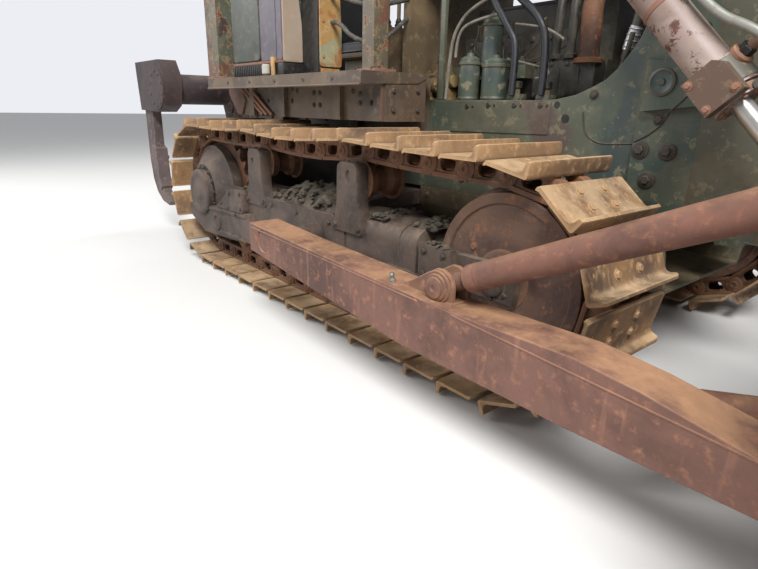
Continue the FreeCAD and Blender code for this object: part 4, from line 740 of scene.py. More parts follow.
def shoe_shape(seed):
    """A single-grouser shoe with a bent rear lip, four bolts, and its own dents."""
    chance = random.Random(seed)
    gap, top = 0.0045, RAIL_HALF + PLATE
    tip = top + GROUSER - 0.001 - 0.006 * chance.random()
    section = [(gap + 0.006, RAIL_HALF), (PITCH - 0.02, RAIL_HALF),
        (PITCH - 0.006, RAIL_HALF - 0.006), (PITCH - gap, RAIL_HALF + 0.001), (PITCH - 0.012, top),
        (0.052, top), (0.036, top + 0.004), (0.027, top + 0.014), (0.023, tip - 0.004),
        (0.018, tip), (0.009, tip - 0.001), (0.006, tip - 0.006), (gap, top + 0.004),
        (gap, RAIL_HALF + 0.008)]
    verts, faces = [], []
    half = SHOE_WIDE / 2
    stations = [-half, -half + 0.012, -half + 0.1, -0.1, -0.02, 0.06, half - 0.09, half - 0.012,
        half]
    for y in stations:
        pull = 0.005 if abs(abs(y) - half) < 1e-6 else 0.0
        wave = 0.0016 * (chance.random() - 0.5)
        for u, w in section:
            dip = pull if w > top + 0.02 else 0.0
            verts.append((u + (0.5 - u / PITCH) * pull * 2, y,
                    w - dip + (wave if RAIL_HALF + 0.002 < w else 0)))
    count = len(section)
    for ring in range(len(stations) - 1):
        for index in range(count):
            after = (index + 1) % count
            faces.append((ring * count + index, ring * count + after, (ring + 1) * count + after,
                    (ring + 1) * count + index))
    faces.append(tuple(range(count - 1, -1, -1)))
    faces.append(tuple(range((len(stations) - 1) * count, len(stations) * count)))
    shape = Shape().add(0, (verts, faces))
    for u in (0.078, 0.146):
        for y in (-0.073, 0.073):
            shape.add(0, bolt("Z", (u, y, top), 0.0135, 0.01))
    return shape


def track(side):
    chain, link = Shape(), link_shape()
    link.marks = [1] * len(link.faces)
    for index in range(SHOES):
        (ax, az), (bx, bz) = PINS[index], PINS[(index + 1) % SHOES]
        along = Vector((bx - ax, 0, bz - az)).normalized()
        out = Vector((along.z, 0, -along.x))
        across = Vector((0, 1, 0))
        place = Matrix(((along.x, across.x, out.x, ax), (along.y, across.y, out.y, side * TRACK_Y),
                (along.z, across.z, out.z, az), (0, 0, 0, 1)))
        chain.join(link, place)
        chain.join(shoe_shape(index + (side > 0) * 100), place)
    name = "left" if side > 0 else "right"
    return piece("chain_" + name, chain, "tractor", [SHOE, LINK], 40,
        replaces=["track_" + name])


for side in (-1, 1):
    track(side)

# --- final drives and track frames


def band(radius, proud, half, axis, centre, steps, edge=0.002):
    """A raised band about an axis, with its two edges eased."""
    return lathe([(radius, -half), (radius + proud, edge - half), (radius + proud, half - edge),
            (radius, half)], axis, centre, steps)


def ring_of_bolts(shape, axis, centre, radius, count, size, tall, start, mark):
    """Bolt heads on a circle about an axis."""
    matrix = facing(axis, centre)
    out = tuple((matrix.to_3x3() @ Vector((0, 0, 1))))
    for index in range(count):
        angle = start + 2 * math.pi * index / count
        spot = matrix @ Vector((radius * math.cos(angle), radius * math.sin(angle), 0))
        shape.add(mark, bolt(out, spot, size, tall))


FINAL_Z, IDLER_HUB_X, IDLER_HUB_Z = 0.5211, 2.6103, 0.5064


def final_drive():
    """The outer bearing's cap, split covers, recess and bolts, for both sides."""
    shape = Shape()
    shape.add(0,
        lathe([(0.16, -0.004), (0.16, 0.006), (0.152, 0.013), (0.128, 0.015), (0.118, 0.01),
                (0.062, 0.012), (0.052, 0.019), (0.03, 0.021), (0.0, 0.021)], RIGHT,
            (0, -1.156, FINAL_Z), 56))
    ring_of_bolts(shape, RIGHT, (0, -1.1245, FINAL_Z), 0.1765, 14, 0.0115, 0.012, 0.1, 1)
    shape.add(0,
        lathe([(0.06, 0), (0.056, 0.009), (0.045, 0.01), (0.041, 0.001)], RIGHT,
            (0.247, -1.15, 0.345), 30))
    cover = rounded([(0.25, 0.452), (0.48, 0.6), (0.655, 0.612), (0.665, 0.462)], 0.03)
    shape.add(0, plate([cover], -1.157, -1.098, "XZ", 0.005))
    for x, z in ((0.345, 0.492), (0.48, 0.57), (0.63, 0.585), (0.635, 0.49), (0.455, 0.478)):
        shape.add(1, bolt(RIGHT, (x, -1.157, z), 0.011, 0.009))
    shape.add(0,
        plate([rounded([(-0.17, 0.428), (0.7, 0.462), (0.7, 0.44), (-0.17, 0.405)], 0.006)],
            -1.159, -1.12, "XZ", 0.003))
    for x in (-0.12, 0.1, 0.36, 0.56):
        shape.add(1, bolt(RIGHT, (x, -1.158, 0.4215 + 0.039 * x), 0.009, 0.008))
    rib = [(0.3, -1.155), (0.46, -1.168), (0.7, -1.16), (0.7, -1.145), (0.3, -1.145)]
    shape.add(0, prism(rib, 0.285, 0.3, "XY"))
    shape.add(2,
        lathe([(0.1605, -0.001), (0.1605, 0.0015), (0.192, 0.0015), (0.192, -0.001)], RIGHT,
            (0, -1.1245, FINAL_Z), 56))
    shape.add(0,
        lathe([(0.316, -0.006), (0.322, -0.003), (0.322, 0.01), (0.312, 0.014)], RIGHT,
            (0, -1.032, FINAL_Z), 64))
    seam = [(0.1985 + 0.1135 * step / 8, -1.1215 + 0.088 * step / 8) for step in range(9)]
    turn = math.radians(-12)
    shape.add(0,
        pipe([(r * math.cos(turn), y, FINAL_Z + r * math.sin(turn)) for r, y in seam], 0.005, 8))
    return piece("final_drive_detail", both_sides(shape), "tractor", [FINAL, CASE, SEAL],
        38)


def posts():
    """Cast brackets over the carrier rollers' posts, with their holes and feet."""
    shape = Shape()
    for middle, hole in ((0.78, (-0.02, 0.802, 0.014, 0.016)), (1.72, (0.012, 0.806, 0.017, 0.03))):
        rim = rounded([(middle - 0.118, 0.535), (middle + 0.122, 0.535), (middle + 0.112, 0.6),
                (middle + 0.086, 0.668), (middle + 0.079, 0.852), (middle + 0.058, 0.874),
                (middle - 0.056, 0.874), (middle - 0.079, 0.852), (middle - 0.084, 0.668),
                (middle - 0.106, 0.6)], 0.02)
        x, z, wide, tall = hole
        eye = [(middle + x + wide * math.cos(a / 9 * math.pi),
                z + tall * math.sin(a / 9 * math.pi)) for a in range(18)]
        shape.add(0, plate([rim, eye], -1.121, -1.049, "XZ", 0.006),
            block((middle - 0.062, -1.05, 0.56), (middle + 0.062, -0.985, 0.64), 0.01),
            prism(rounded([(-1.052, 0.56), (-0.985, 0.56), (-1.052, 0.76)], 0.01), middle - 0.02,
                middle + 0.02, "YZ"))
        for dx in (-0.092, 0.094):
            shape.add(1, bolt(RIGHT, (middle + dx, -1.121, 0.566), 0.013, 0.01))
        for dx in (-0.035, 0.037):
            shape.add(1, bolt("Z", (middle + dx, -1.085, 0.872), 0.01, 0.009))
    return piece("post_castings", both_sides(shape), "tractor", [FRAME, CASE], 38,
        bevel=0.003)


def frame_detail():
    """Cover seams, straps, side bolts and the idler's yoke blocks along the track frames."""
    shape = Shape()
    for x in (0.41, 0.96, 1.24, 1.56):
        shape.add(1, bolt(RIGHT, (x, -1.112, 0.56), 0.012, 0.01),
            bolt(RIGHT, (x, -1.112, 0.4), 0.012, 0.01))
    shape.add(0, block((1.7, -1.1165, 0.428), (2.255, -1.1105, 0.448), 0.002),
        block((0.345, -1.1155, 0.352), (1.7, -1.1105, 0.372), 0.002))
    for x in (1.76, 1.96, 2.16):
        shape.add(1, bolt(RIGHT, (x, -1.1165, 0.438), 0.008, 0.007))
    for side in (-1.1165, -0.7635):
        shape.add(0,
            block((2.225, min(side, side + 0.036), 0.44), (2.41, max(side, side + 0.036), 0.59),
                0.01))
    for x in (2.262, 2.372):
        for z in (0.466, 0.56):
            shape.add(1, bolt(RIGHT, (x, -1.1165, z), 0.012, 0.01))
    shape.add(0,
        lathe([(0.052, 0), (0.052, 0.016), (0.044, 0.021), (0.02, 0.021), (0.016, 0.017),
                (0, 0.017)], RIGHT, (IDLER_HUB_X, -1.086, IDLER_HUB_Z), 28))
    ring_of_bolts(shape, RIGHT, (IDLER_HUB_X, -1.0865, IDLER_HUB_Z), 0.066, 6, 0.009, 0.008, 0.4,
        1)
    for x in (0.552, 0.88, 1.2, 1.52, 1.835, 2.152):
        shape.add(0, block((x - 0.045, -1.1145, 0.296), (x + 0.045, -1.07, 0.3445), 0.006))
        for dx in (-0.026, 0.026):
            shape.add(1, bolt(DOWN, (x + dx, -1.092, 0.296), 0.01, 0.008))
    return piece("frame_detail", both_sides(shape), "tractor", [FRAME, CASE], 38)


def idler_detail():
    """The idlers' hub rings, weld line and plug."""
    shape = Shape()
    shape.add(0,
        lathe([(0.12, -0.012), (0.118, 0.004), (0.104, 0.008), (0.086, 0.008), (0.082, 0.002)],
            RIGHT, (IDLER_HUB_X, -1.0375, IDLER_HUB_Z), 40),
        bolt(RIGHT, (IDLER_HUB_X - 0.15, -1.034, IDLER_HUB_Z + 0.1), 0.014, 0.01))
    return piece("idler_detail", both_sides(shape), "tractor", [IDLER], 38)


def rollers():
    """Track and carrier rollers, double-flanged, with waists, seal rings and plugs."""
    shape = Shape()
    first, last = IDLER_TREAD + ROLLER + 0.015, IDLER_X - IDLER_TREAD - ROLLER - 0.02
    low = PIN_LOW + RAIL_HALF + ROLLER + 0.0005
    places = [(first + (last - first) * index / 5, low, ROLLER, 0.13, 0.073) for index in range(6)]
    places += [(0.78, 0.791, 0.088, 0.112, 0.06), (1.72, 0.7848, 0.088, 0.112, 0.06)]
    for x, z, radius, half, hub in places:
        tread = radius - 0.0008
        corners = [(hub, half), (hub + 0.002, 0.108), (radius + 0.008, 0.106),
            (radius + 0.016, 0.102), (radius + 0.017, 0.099), (tread + 0.002, 0.0967),
            (tread, 0.094), (tread, 0.05), (tread - 0.004, 0.046), (tread - 0.026, 0.03),
            (tread - 0.028, 0.014)]
        shape.add(0,
            lathe([(r, -y) for r, y in corners] + [(r, y) for r, y in reversed(corners)], "Y",
                (x, -TRACK_Y, z), 44),
            lathe([(hub - 0.006, half - 0.002), (hub - 0.006, half + 0.003), (0.03, half + 0.004),
                    (0.014, half + 0.001), (0, half + 0.001)], RIGHT, (x, -TRACK_Y, z), 24))
    return piece("roller_set", both_sides(shape), "tractor", [LINK], 34,
        replaces=["rollers"])


def lump(chance, centre, radius):
    """One lump of earth: a flattened ball of twenty to eighty rough faces."""
    ball = bmesh.new()
    bmesh.ops.create_icosphere(ball, subdivisions=2 if radius > 0.03 else 1, radius=radius)
    seed = Vector((chance.random() * 50, chance.random() * 50, chance.random() * 50))
    for vert in ball.verts:
        way = vert.co / radius
        swell = 0.0
        for scale, share in ((1.7, 0.32), (4.1, 0.2), (9.0, 0.1)):
            spot = way * scale + seed
            swell += share * (math.sin(spot.x * 2.1 + spot.y) * math.cos(spot.z * 1.7 - spot.x))
        vert.co *= 1 + swell
        vert.co.z *= 0.75
    matrix = Matrix.Translation(centre) @ Matrix.Rotation(chance.random() * 6, 4, "Z")
    for vert in ball.verts:
        vert.co = matrix @ vert.co
    return taken(ball)


# Heaps of earth: from x, to x, from y, to y, seat, rise in the middle, lumps, size of a lump
HEAPS = ((0.885, 1.64, -1.095, -0.8, 0.6, 0.12, 400, 0.018),
    (0.56, 0.69, -1.095, -0.99, 0.6, 0.045, 26, 0.018),
    (1.845, 1.96, -1.08, -0.83, 0.634, 0.03, 34, 0.017),
    (2.1, 2.235, -1.05, -0.86, 0.634, 0.03, 40, 0.018),
    (2.27, 2.4, -1.112, -1.084, 0.59, 0.02, 18, 0.014))


def mound(chance, across, deep, seat, rise):
    """A heap of crumbled earth: a rough field of heights that falls to its seat at the rim."""
    (x0, x1), (y0, y1) = across, deep
    columns, rows = max(8, int((x1 - x0) / 0.012)), max(6, int((y1 - y0) / 0.012))
    shift = Vector((chance.random() * 30, chance.random() * 30, 0))
    verts, faces = [], []
    for row in range(rows + 1):
        for column in range(columns + 1):
            u, v = column / columns, row / rows
            crown = (1 - (2 * u - 1) ** 4) * (1 - (2 * v - 1) ** 4)
            spot = Vector((x0 + u * (x1 - x0), y0 + v * (y1 - y0), 0)) + shift
            rough = (0.72 + 0.5 * noise.fractal(spot * 6, 1.0, 2.1, 4) + 0.16 * noise.fractal(
                    spot * 24, 1.0, 2.0, 3))
            verts.append((x0 + u * (x1 - x0), y0 + v * (y1 - y0),
                    seat - 0.004 + max(0.0, crown * rise * rough)))
    for row in range(rows):
        for column in range(columns):
            start = row * (columns + 1) + column
            faces.append((start, start + 1, start + columns + 2, start + columns + 1))
    rim = [index for index in range(columns + 1)]
    rim += [row * (columns + 1) + columns for row in range(1, rows + 1)]
    rim += [rows * (columns + 1) + column for column in range(columns - 1, -1, -1)]
    rim += [row * (columns + 1) for row in range(rows - 1, 0, -1)]
    return verts, faces + [tuple(reversed(rim))]


def earth(side, seed):
    chance = random.Random(seed)
    shape = Shape()
    for x0, x1, y0, y1, seat, rise, count, size in HEAPS:
        shape.add(0, mound(chance, (x0, x1), tuple(sorted((side * -y0, side * -y1))), seat, rise))
        for _ in range(count):
            u, v = chance.random(), chance.random()
            crown = max(0.0, 1 - (2 * u - 1) ** 2) * (1 - 0.5 * (2 * v - 1) ** 2)
            radius = size * (0.5 + 0.75 * chance.random())
            spot = (x0 + u * (x1 - x0), side * -(y0 + v * (y1 - y0)),
                seat + crown * rise * (0.35 + 0.65 * chance.random()))
            shape.add(0, lump(chance, spot, radius))
    name = "left" if side > 0 else "right"
    return piece("earth_" + name, shape, "tractor", [CLODS], 60)


final_drive()
posts()
frame_detail()
idler_detail()
rollers()
earth(-1, 5)
earth(1, 8)

# --- blade frame

# A brace's two ends, and the X and Z of a lift cylinder's trunnion and of its rod's eye
EYE, HEAD = Vector((2.606, -1.332, 0.545)), Vector((3.856, -1.332, 1.114))
LIFT_Y, TRUNNION, ROD_EYE = 0.655, (3.105, 1.215), (3.77, 0.52)


def arm_detail():
    """The clevises' rings and pins, welds, and the fittings on the push arms."""
    shape = Shape()
    x, z = EYE.x, EYE.z
    shape.add(0,
        lathe([(0.058, -0.002), (0.058, 0.007), (0.055, 0.01), (0.0485, 0.01), (0.0475, 0.016),
                (0.044, 0.019), (0.0385, 0.019), (0.0375, 0.026), (0.033, 0.029), (0.011, 0.029),
                (0.009, 0.025), (0, 0.025)], RIGHT, (x, -1.38, z), 44),
        lathe([(0.055, -0.002), (0.053, 0.007), (0.036, 0.008), (0.034, 0.016), (0, 0.016)],
            (0, 1, 0), (x, -1.284, z), 32))
    for y in (-1.3795, -1.2845):
        shape.add(0, pipe([(2.372, y, 0.5), (2.52, y, 0.502), (2.675, y, 0.498)], 0.0055, 8))
    shape.add(0,
        pipe([(2.676, -1.38, 0.498), (2.678, -1.332, 0.5), (2.676, -1.284, 0.498)], 0.0055, 8),
        lathe([(0.055, 0), (0.0535, 0.012), (0.046, 0.0135), (0, 0.0135)], RIGHT,
            (1.45, -1.4135, 0.482), 40))
    for x0, x1, z0, z1 in ((1.33, 2.56, 0.543, 0.5), (2.72, 3.8, 0.499, 0.432)):
        middle = (x0 + x1) / 2
        shape.add(0,
            pipe([(x0, -1.4305, z0 - 0.01), (middle, -1.4308, (z0 + z1) / 2 - 0.012),
                    (x1, -1.4305, z1 - 0.01)], 0.004, 8))
    shape.add(1,
        lathe([(0.013, -0.002), (0.013, 0.01), (0.008, 0.014), (0.008, 0.024), (0.011, 0.028),
                (0.009, 0.036), (0, 0.038)], (-0.25, -0.1, 1), (2.388, -1.392, 0.507), 14))
    shape.add(0,
        lathe([(0.02, -0.002), (0.02, 0.008), (0.012, 0.01)], (-0.2, 0, 1), (2.405, -1.375, 0.505),
            6))
    return piece("arm_detail", both_sides(shape), "blade_frame", [ARM, LINE], 38)


def brace_detail():
    """The braces' screw necks with their threads, nuts and end collars."""
    shape = Shape()
    way = (HEAD - EYE).normalized()
    turns = []
    for index in range(13):
        start = 0.046 + index * 0.0052
        turns += [(0.0265, start), (0.0315, start + 0.0026)]
    shape.add(0, lathe(turns + [(0.0265, 0.1145)], tuple(way), EYE, 28),
        lathe([(0.04, 0.108), (0.0475, 0.1125), (0.048, 0.15), (0.0465, 0.154)], tuple(way), EYE,
            36),
        lathe([(0.0465, 0.16), (0.0472, 0.162), (0.0472, 0.166), (0.0465, 0.168)], tuple(way), EYE,
            36),
        lathe([(0.0468, 0.98), (0.051, 0.985), (0.051, 1.04), (0.0468, 1.045)], tuple(way), EYE,
            36))
    return piece("brace_detail", both_sides(shape), "blade_frame", [BRACE], 30)


def blade_detail():
    """Edge bolts, end bits, rib welds and ear pins of the blade."""
    shape = Shape()
    rear = 3.8545
    for y in (0.18, 0.62, 1.02, 1.44, 1.7):
        shape.add(0, block((rear, y - 0.012, 0.42), (rear + 0.01, y + 0.012, 1.04), 0.003))
    for y in (0.2, 0.75, 1.2, 1.62):
        shape.add(0, block((3.91, y - 0.009, 0.421), (4.01, y + 0.009, 0.47), 0.003))
    for ear in (-1, 1):
        cap = LIFT_Y + ear * (0.03 + 0.008 + 0.028 + 0.012)
        shape.add(0,
            lathe([(0.036, 0), (0.036, 0.005), (0.03, 0.008), (0.01, 0.008), (0.008, 0.005),
                    (0, 0.005)], (0, ear, 0), (ROD_EYE[0], cap, ROD_EYE[1]), 24))
    return piece("blade_detail", both_sides(shape), "blade_frame", [BLADE], 38)


arm_detail()
brace_detail()
blade_detail()

# --- fenders and boxes


def fender_detail():
    """Skirt bolts and holes, pressed corners, struts, post feet and the rolled lip."""
    shape = Shape()
    face = -0.905
    for x, z in ((0.593, 1.147), (0.885, 1.148), (0.889, 1.215), (0.944, 1.203), (1.123, 1.191),
            (1.183, 1.191), (1.121, 1.128), (1.182, 1.128), (1.485, 1.198), (1.543, 1.184),
            (1.544, 1.141), (1.632, 1.142)):
        shape.add(1, bolt(RIGHT, (x, face, z), 0.011, 0.01))
    for x1 in (0.775, 1.345, 1.736):
        corner = [(x1, 1.272), (x1 - 0.1, 1.272)]
        corner += [(x1 - 0.1 + 0.085 * math.sin(a * math.pi / 16),
                1.175 + 0.097 * math.cos(a * math.pi / 16)) for a in range(9)]
        corner += [(x1 - 0.015, 1.06), (x1, 1.06)]
        shape.add(0, plate([corner], face - 0.02, face - 0.001, "XZ", 0.003))
    for top, foot in (((0.205, 1.262), (0.545, 1.062)), ((0.262, 1.262), (0.6, 1.062)),
            ((0.33, 1.262), (0.665, 1.062))):
        shape.add(2,
            bar((top[0], face - 0.018, top[1]), (foot[0], face - 0.014, foot[1]), 0.011, 10,
                0.001))
    shape.add(2,
        plate([rounded([(0.06, 1.268), (0.225, 1.268), (0.3, 1.15), (0.245, 1.058), (0.18, 1.058),
                        (0.06, 1.19)], 0.015)], face - 0.012, face + 0.006, "XZ", 0.002))
    lip = [(0.05, -1.0615, 1.222), (0.9, -1.0615, 1.22), (1.745, -1.0615, 1.222)]
    shape.add(0, pipe(lip, 0.006, 8))
    for x0, x1, y0, y1 in ((0.03, 0.26, -1.056, -0.845), (1.58, 1.735, -0.975, -0.83)):
        shape.add(2, panel(x0, x1, y0, y1, 0.012, 1.2815, 1.2945, 0.002, "XY"))
    for x, y in ((0.045, -0.862), (0.244, -0.862), (1.597, -0.965), (1.719, -0.965),
            (1.597, -0.846), (1.719, -0.846)):
        shape.add(1, bolt("Z", (x, y, 1.2945), 0.01, 0.01))
    for x in (0.36, 0.66, 0.96, 1.26, 1.52):
        shape.add(1,
            lathe([(0.012, -0.001), (0.01, 0.004), (0, 0.0055)], RIGHT, (x, -1.06, 1.252), 12))
    for y, z in ((-0.86, 1.2), (-0.86, 1.11), (-0.7, 1.2), (-0.7, 1.11)):
        shape.add(1, bolt("X", (1.745, y, z), 0.011, 0.01))
    shape.add(0,
        plate([rounded([(-1.06, 1.222), (-0.7, 1.236), (-0.6, 1.282), (-1.06, 1.282)], 0.006)],
            1.744, 1.7495, "YZ", 0.001))
    for x in (1.02, 1.16, 1.3, 1.44):
        for y in (-1.0, -0.93, -0.86, -0.79, -0.72):
            shape.add(0, block((x - 0.045, y - 0.004, 1.2815), (x + 0.045, y + 0.004, 1.2855)))
    return piece("fender_detail", both_sides(shape), "tractor", [SKIRT, FRAME, ARM],
        38)


def battery_side():
    """Rounded panels, cover, black foot and strips of the battery box and the console."""
    side = Shape()
    side.add(0, panel(0.334, 0.694, 1.372, 1.804, 0.04, -1.0, -0.984, 0.006))
    side.add(1, panel(0.7, 0.946, 1.366, 1.804, 0.02, -0.997, -0.984, 0.004))
    side.add(2, block((0.8845, -0.9985, 1.38), (0.8875, -0.9965, 1.795)),
        block((0.33, -0.9965, 1.283), (0.95, -0.984, 1.352), 0.003))
    for index in range(15):
        x = 0.34 + index * 0.0245
        side.add(2, block((x, -1.002, 1.29), (x + 0.012, -0.995, 1.35), 0.002))
    side.add(4, block((0.33, -1.0, 1.352), (0.948, -0.983, 1.366), 0.003))
    front = 0.9505
    side.add(6,
        plate([rounded([(-0.994, 1.356), (-0.866, 1.356), (-0.872, 1.56), (-0.905, 1.804),
                        (-0.994, 1.804)], 0.012)], front - 0.001, front + 0.01, "YZ", 0.003))
    # The black panel from the box's front to the console fills the gap between them: its darkness
    # is painted shade.
    side.add(2, block((front - 0.001, -0.994, 1.29), (front + 0.006, -0.866, 1.35), 0.003),
        panel(0.956, 1.12, 1.286, 1.77, 0.012, -0.872, -0.862, 0.003))
    side.add(3,
        plate([rounded([(-0.868, 1.33), (-0.722, 1.33), (-0.722, 1.5), (-0.738, 1.79),
                        (-0.868, 1.79)], 0.02)], 1.1245, 1.1345, "YZ", 0.003),
        block((1.1245, -0.86, 1.286), (1.132, -0.736, 1.322), 0.003))
    for z in (1.38, 1.56, 1.74):
        side.add(3, bolt("X", (1.134, -0.845, z), 0.007, 0.005))
    side.add(5, rod("Z", (0.8, -1.022, 1.29), 0.024, 0.056, 22, 0.006))
    side.add(7, panel(0.842, 0.876, 1.283, 1.384, 0.006, -1.014, -1.004, 0.001),
        block((0.844, -1.0045, 1.362), (0.874, -0.984, 1.38), 0.002))
    for x in (0.37, 0.66):
        side.add(0, bolt(RIGHT, (x, -1.0, 1.784), 0.008, 0.006))
    return piece("battery_panels", side, "tractor",
        [DARK_BOX, COVER, SEAL, TAN, ARM, PALE, STRIP, TAN], 38)


def lid_detail():
    """The lid's handle, catches and gasket."""
    shape = Shape()
    shape.add(1,
        pipe([(0.575, -0.985, 1.835), (0.575, -1.01, 1.838), (0.64, -1.014, 1.838),
                (0.705, -1.01, 1.838), (0.705, -0.985, 1.835)], 0.006, 8))
    for x in (0.43, 0.85):
        shape.add(1, block((x - 0.02, -0.998, 1.826), (x + 0.02, -0.984, 1.858), 0.003),
            block((x - 0.008, -1.003, 1.832), (x + 0.008, -0.996, 1.85), 0.002))
    for x in (0.5, 0.64, 0.78):
        shape.add(0, block((x - 0.01, -0.94, 1.8695), (x + 0.01, -0.64, 1.8745), 0.002))
    return piece("lid_detail", shape, "battery_lid", [DARK_BOX, LINE], 38)


def tanks():
    """Straps, caps, gauge and drain on the hydraulic tank and the fuel tank."""
    shape = Shape()
    for x in (0.45, 0.73):
        shape.add(1, block((x - 0.022, 0.984, 1.284), (x + 0.022, 0.9895, 1.868), 0.002),
            block((x - 0.022, 0.602, 1.8695), (x + 0.022, 0.984, 1.8745), 0.002),
            bolt((0, 1, 0), (x, 0.9895, 1.33), 0.012, 0.01))
    shape.add(1,
        lathe([(0.055, -0.002), (0.055, 0.02), (0.062, 0.024), (0.062, 0.042), (0.05, 0.05),
                (0, 0.05)], "Z", (0.59, 0.79, 1.87), 28),
        block((0.575, 0.984, 1.5), (0.605, 0.996, 1.76), 0.003))
    shape.add(2, block((0.582, 0.9955, 1.515), (0.598, 0.9985, 1.745), 0.002))
    shape.add(1, rod((0, 1, 0), (0.38, 0.984, 1.33), 0.016, 0.022, 6))
    for y in (-0.3, 0.3):
        shape.add(1, block((-0.566, y - 0.025, 1.284), (-0.5595, y + 0.025, 1.936), 0.002),
            bolt((-1, 0, 0), (-0.566, y, 1.34), 0.012, 0.01),
            bolt((-1, 0, 0), (-0.566, y, 1.86), 0.012, 0.01))
    shape.add(1, rod((-1, 0, 0), (-0.559, 0.0, 1.32), 0.018, 0.024, 6))
    return piece("tank_fittings", shape, "tractor", [GREEN, FRAME, GLASS], 38)


CROWN, BORDER, CUTS = 0.22, 0.78, 22


def cushion(name, low, high):
    """A crowned pad whose sides pull in between its corners, with a sewn welt and channels."""
    (x0, y0, z0), (x1, y1, z1) = low, high
    pad = bmesh.new()
    middle = Vector(((x0 + x1) / 2, (y0 + y1) / 2, (z0 + z1) / 2))
    half = Vector(((x1 - x0) / 2, (y1 - y0) / 2, (z1 - z0) / 2))
    bmesh.ops.create_cube(pad, size=2)
    bmesh.ops.subdivide_edges(pad, edges=pad.edges[:], cuts=CUTS, use_grid_fill=True)
    thin = min(range(3), key=lambda axis: half[axis])
    wide = [axis for axis in range(3) if axis != thin]
    for vert in pad.verts:
        co = vert.co.copy()
        u, v, w = co[wide[0]], co[wide[1]], co[thin]
        squash = (abs(u) ** 6 + abs(v) ** 6 + abs(w) ** 6) ** (1 / 6)
        co = co / squash * 0.97
        u, v, w = co[wide[0]], co[wide[1]], co[thin]
        pull = 1 - 0.035 * (1 - min(1, abs(v)) ** 2) * (abs(u) ** 4)
        pull2 = 1 - 0.03 * (1 - min(1, abs(u)) ** 2) * (abs(v) ** 4)
        dome = max(0.0, (1 - u * u) * (1 - v * v)) ** 0.6
        rise = w * BORDER + math.copysign(CROWN * dome, w) * (0.35 if w < 0 else 1)
        for channel in (-0.42, 0.0, 0.42):
            rise -= math.copysign(0.05, w) * math.exp(-((v - channel) / 0.035) ** 2) * dome
        welt = math.exp(-((abs(w) - 0.55) / 0.06) ** 2)
        grow = 1 + 0.012 * welt
        co[wide[0]], co[wide[1]], co[thin] = u * pull * grow, v * pull2 * grow, rise
        vert.co = middle + Vector((co[0] * half.x, co[1] * half.y, co[2] * half.z))
    thing = piece(name, Shape().add(0, taken(pad)), "tractor", [VINYL], 70)
    return thing


def seat():
    """Seat pan, frame, cushion and back."""
    shape = Shape()
    shape.add(0, block((0.4, -0.235, 1.431), (0.86, 0.235, 1.452), 0.006),
        block((0.262, -0.23, 1.44), (0.284, 0.23, 1.96), 0.006))
    for y in (-0.262, 0.25):
        shape.add(0, block((0.3, y, 1.44), (0.84, y + 0.012, 1.47), 0.004))
    shape.add(0, block((0.47, -0.15, 1.395), (0.8, 0.15, 1.432), 0.006))
    piece("seat_frame", shape, "tractor", [OLIVE], 38)
    pan = cushion("seat_cushion", (0.385, -0.245, 1.452), (0.872, 0.245, 1.566))
    cushion("seat_back", (0.285, -0.24, 1.535), (0.398, 0.24, 1.972))
    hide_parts("seat")


def dash():
    """Blank gauges, levers' boots and grips, pedals and handrails."""
    shape = Shape()
    face = 1.2705
    for y, z, r in ((-0.18, 1.78, 0.048), (-0.06, 1.78, 0.048), (0.06, 1.78, 0.048),
            (0.18, 1.78, 0.048), (-0.12, 1.675, 0.036), (0.0, 1.675, 0.036), (0.12, 1.675, 0.036)):
        shape.add(1,
            lathe([(r, -0.001), (r, 0.01), (r - 0.006, 0.012), (r - 0.008, 0.005), (0, 0.005)],
                (-1, 0, 0), (face, y, z), 24))
        shape.add(2,
            lathe([(r - 0.009, 0.0045), (r - 0.012, 0.009), (0, 0.009)], (-1, 0, 0), (face, y, z),
                24))
    for index in range(3):
        x, y = 1.09 + 0.06 * index, 0.03 * index - 0.43
        shape.add(3,
            lathe([(0.026, 0), (0.022, 0.01), (0.024, 0.018), (0.017, 0.028), (0.019, 0.036),
                    (0.012, 0.052)], "Z", (x, y, 1.56), 18),
            lathe([(0.012, -0.05), (0.0235, -0.036), (0.0245, 0.0), (0.0235, 0.02), (0.016, 0.034),
                    (0, 0.038)], "Z", (x, y, 1.8005), 20))
    for y in (-0.24, 0.24):
        shape.add(0, pipe([(1.331, y, 1.262), (1.262, y, 1.305), (1.205, y, 1.33)], 0.01, 8))
        shape.add(3, block((1.15, y - 0.045, 1.318), (1.225, y + 0.045, 1.332), 0.004))
    shape.add(0,
        pipe([(1.331, 0.3, 1.7), (1.262, 0.345, 1.705), (1.262, 0.345, 1.56), (1.331, 0.3, 1.555)],
            0.009, 8))
    return piece("dash_detail", shape, "tractor", [OLIVE, FRAME, GLASS, SEAL], 38)


# --- engine bay


# Canisters: centre across, radius, foot and top
FILTERS = ((1.79, -0.38, 0.054, 1.168, 1.365), (1.962, -0.38, 0.066, 1.168, 1.347),
    (1.885, -0.33, 0.05, 1.331, 1.545))


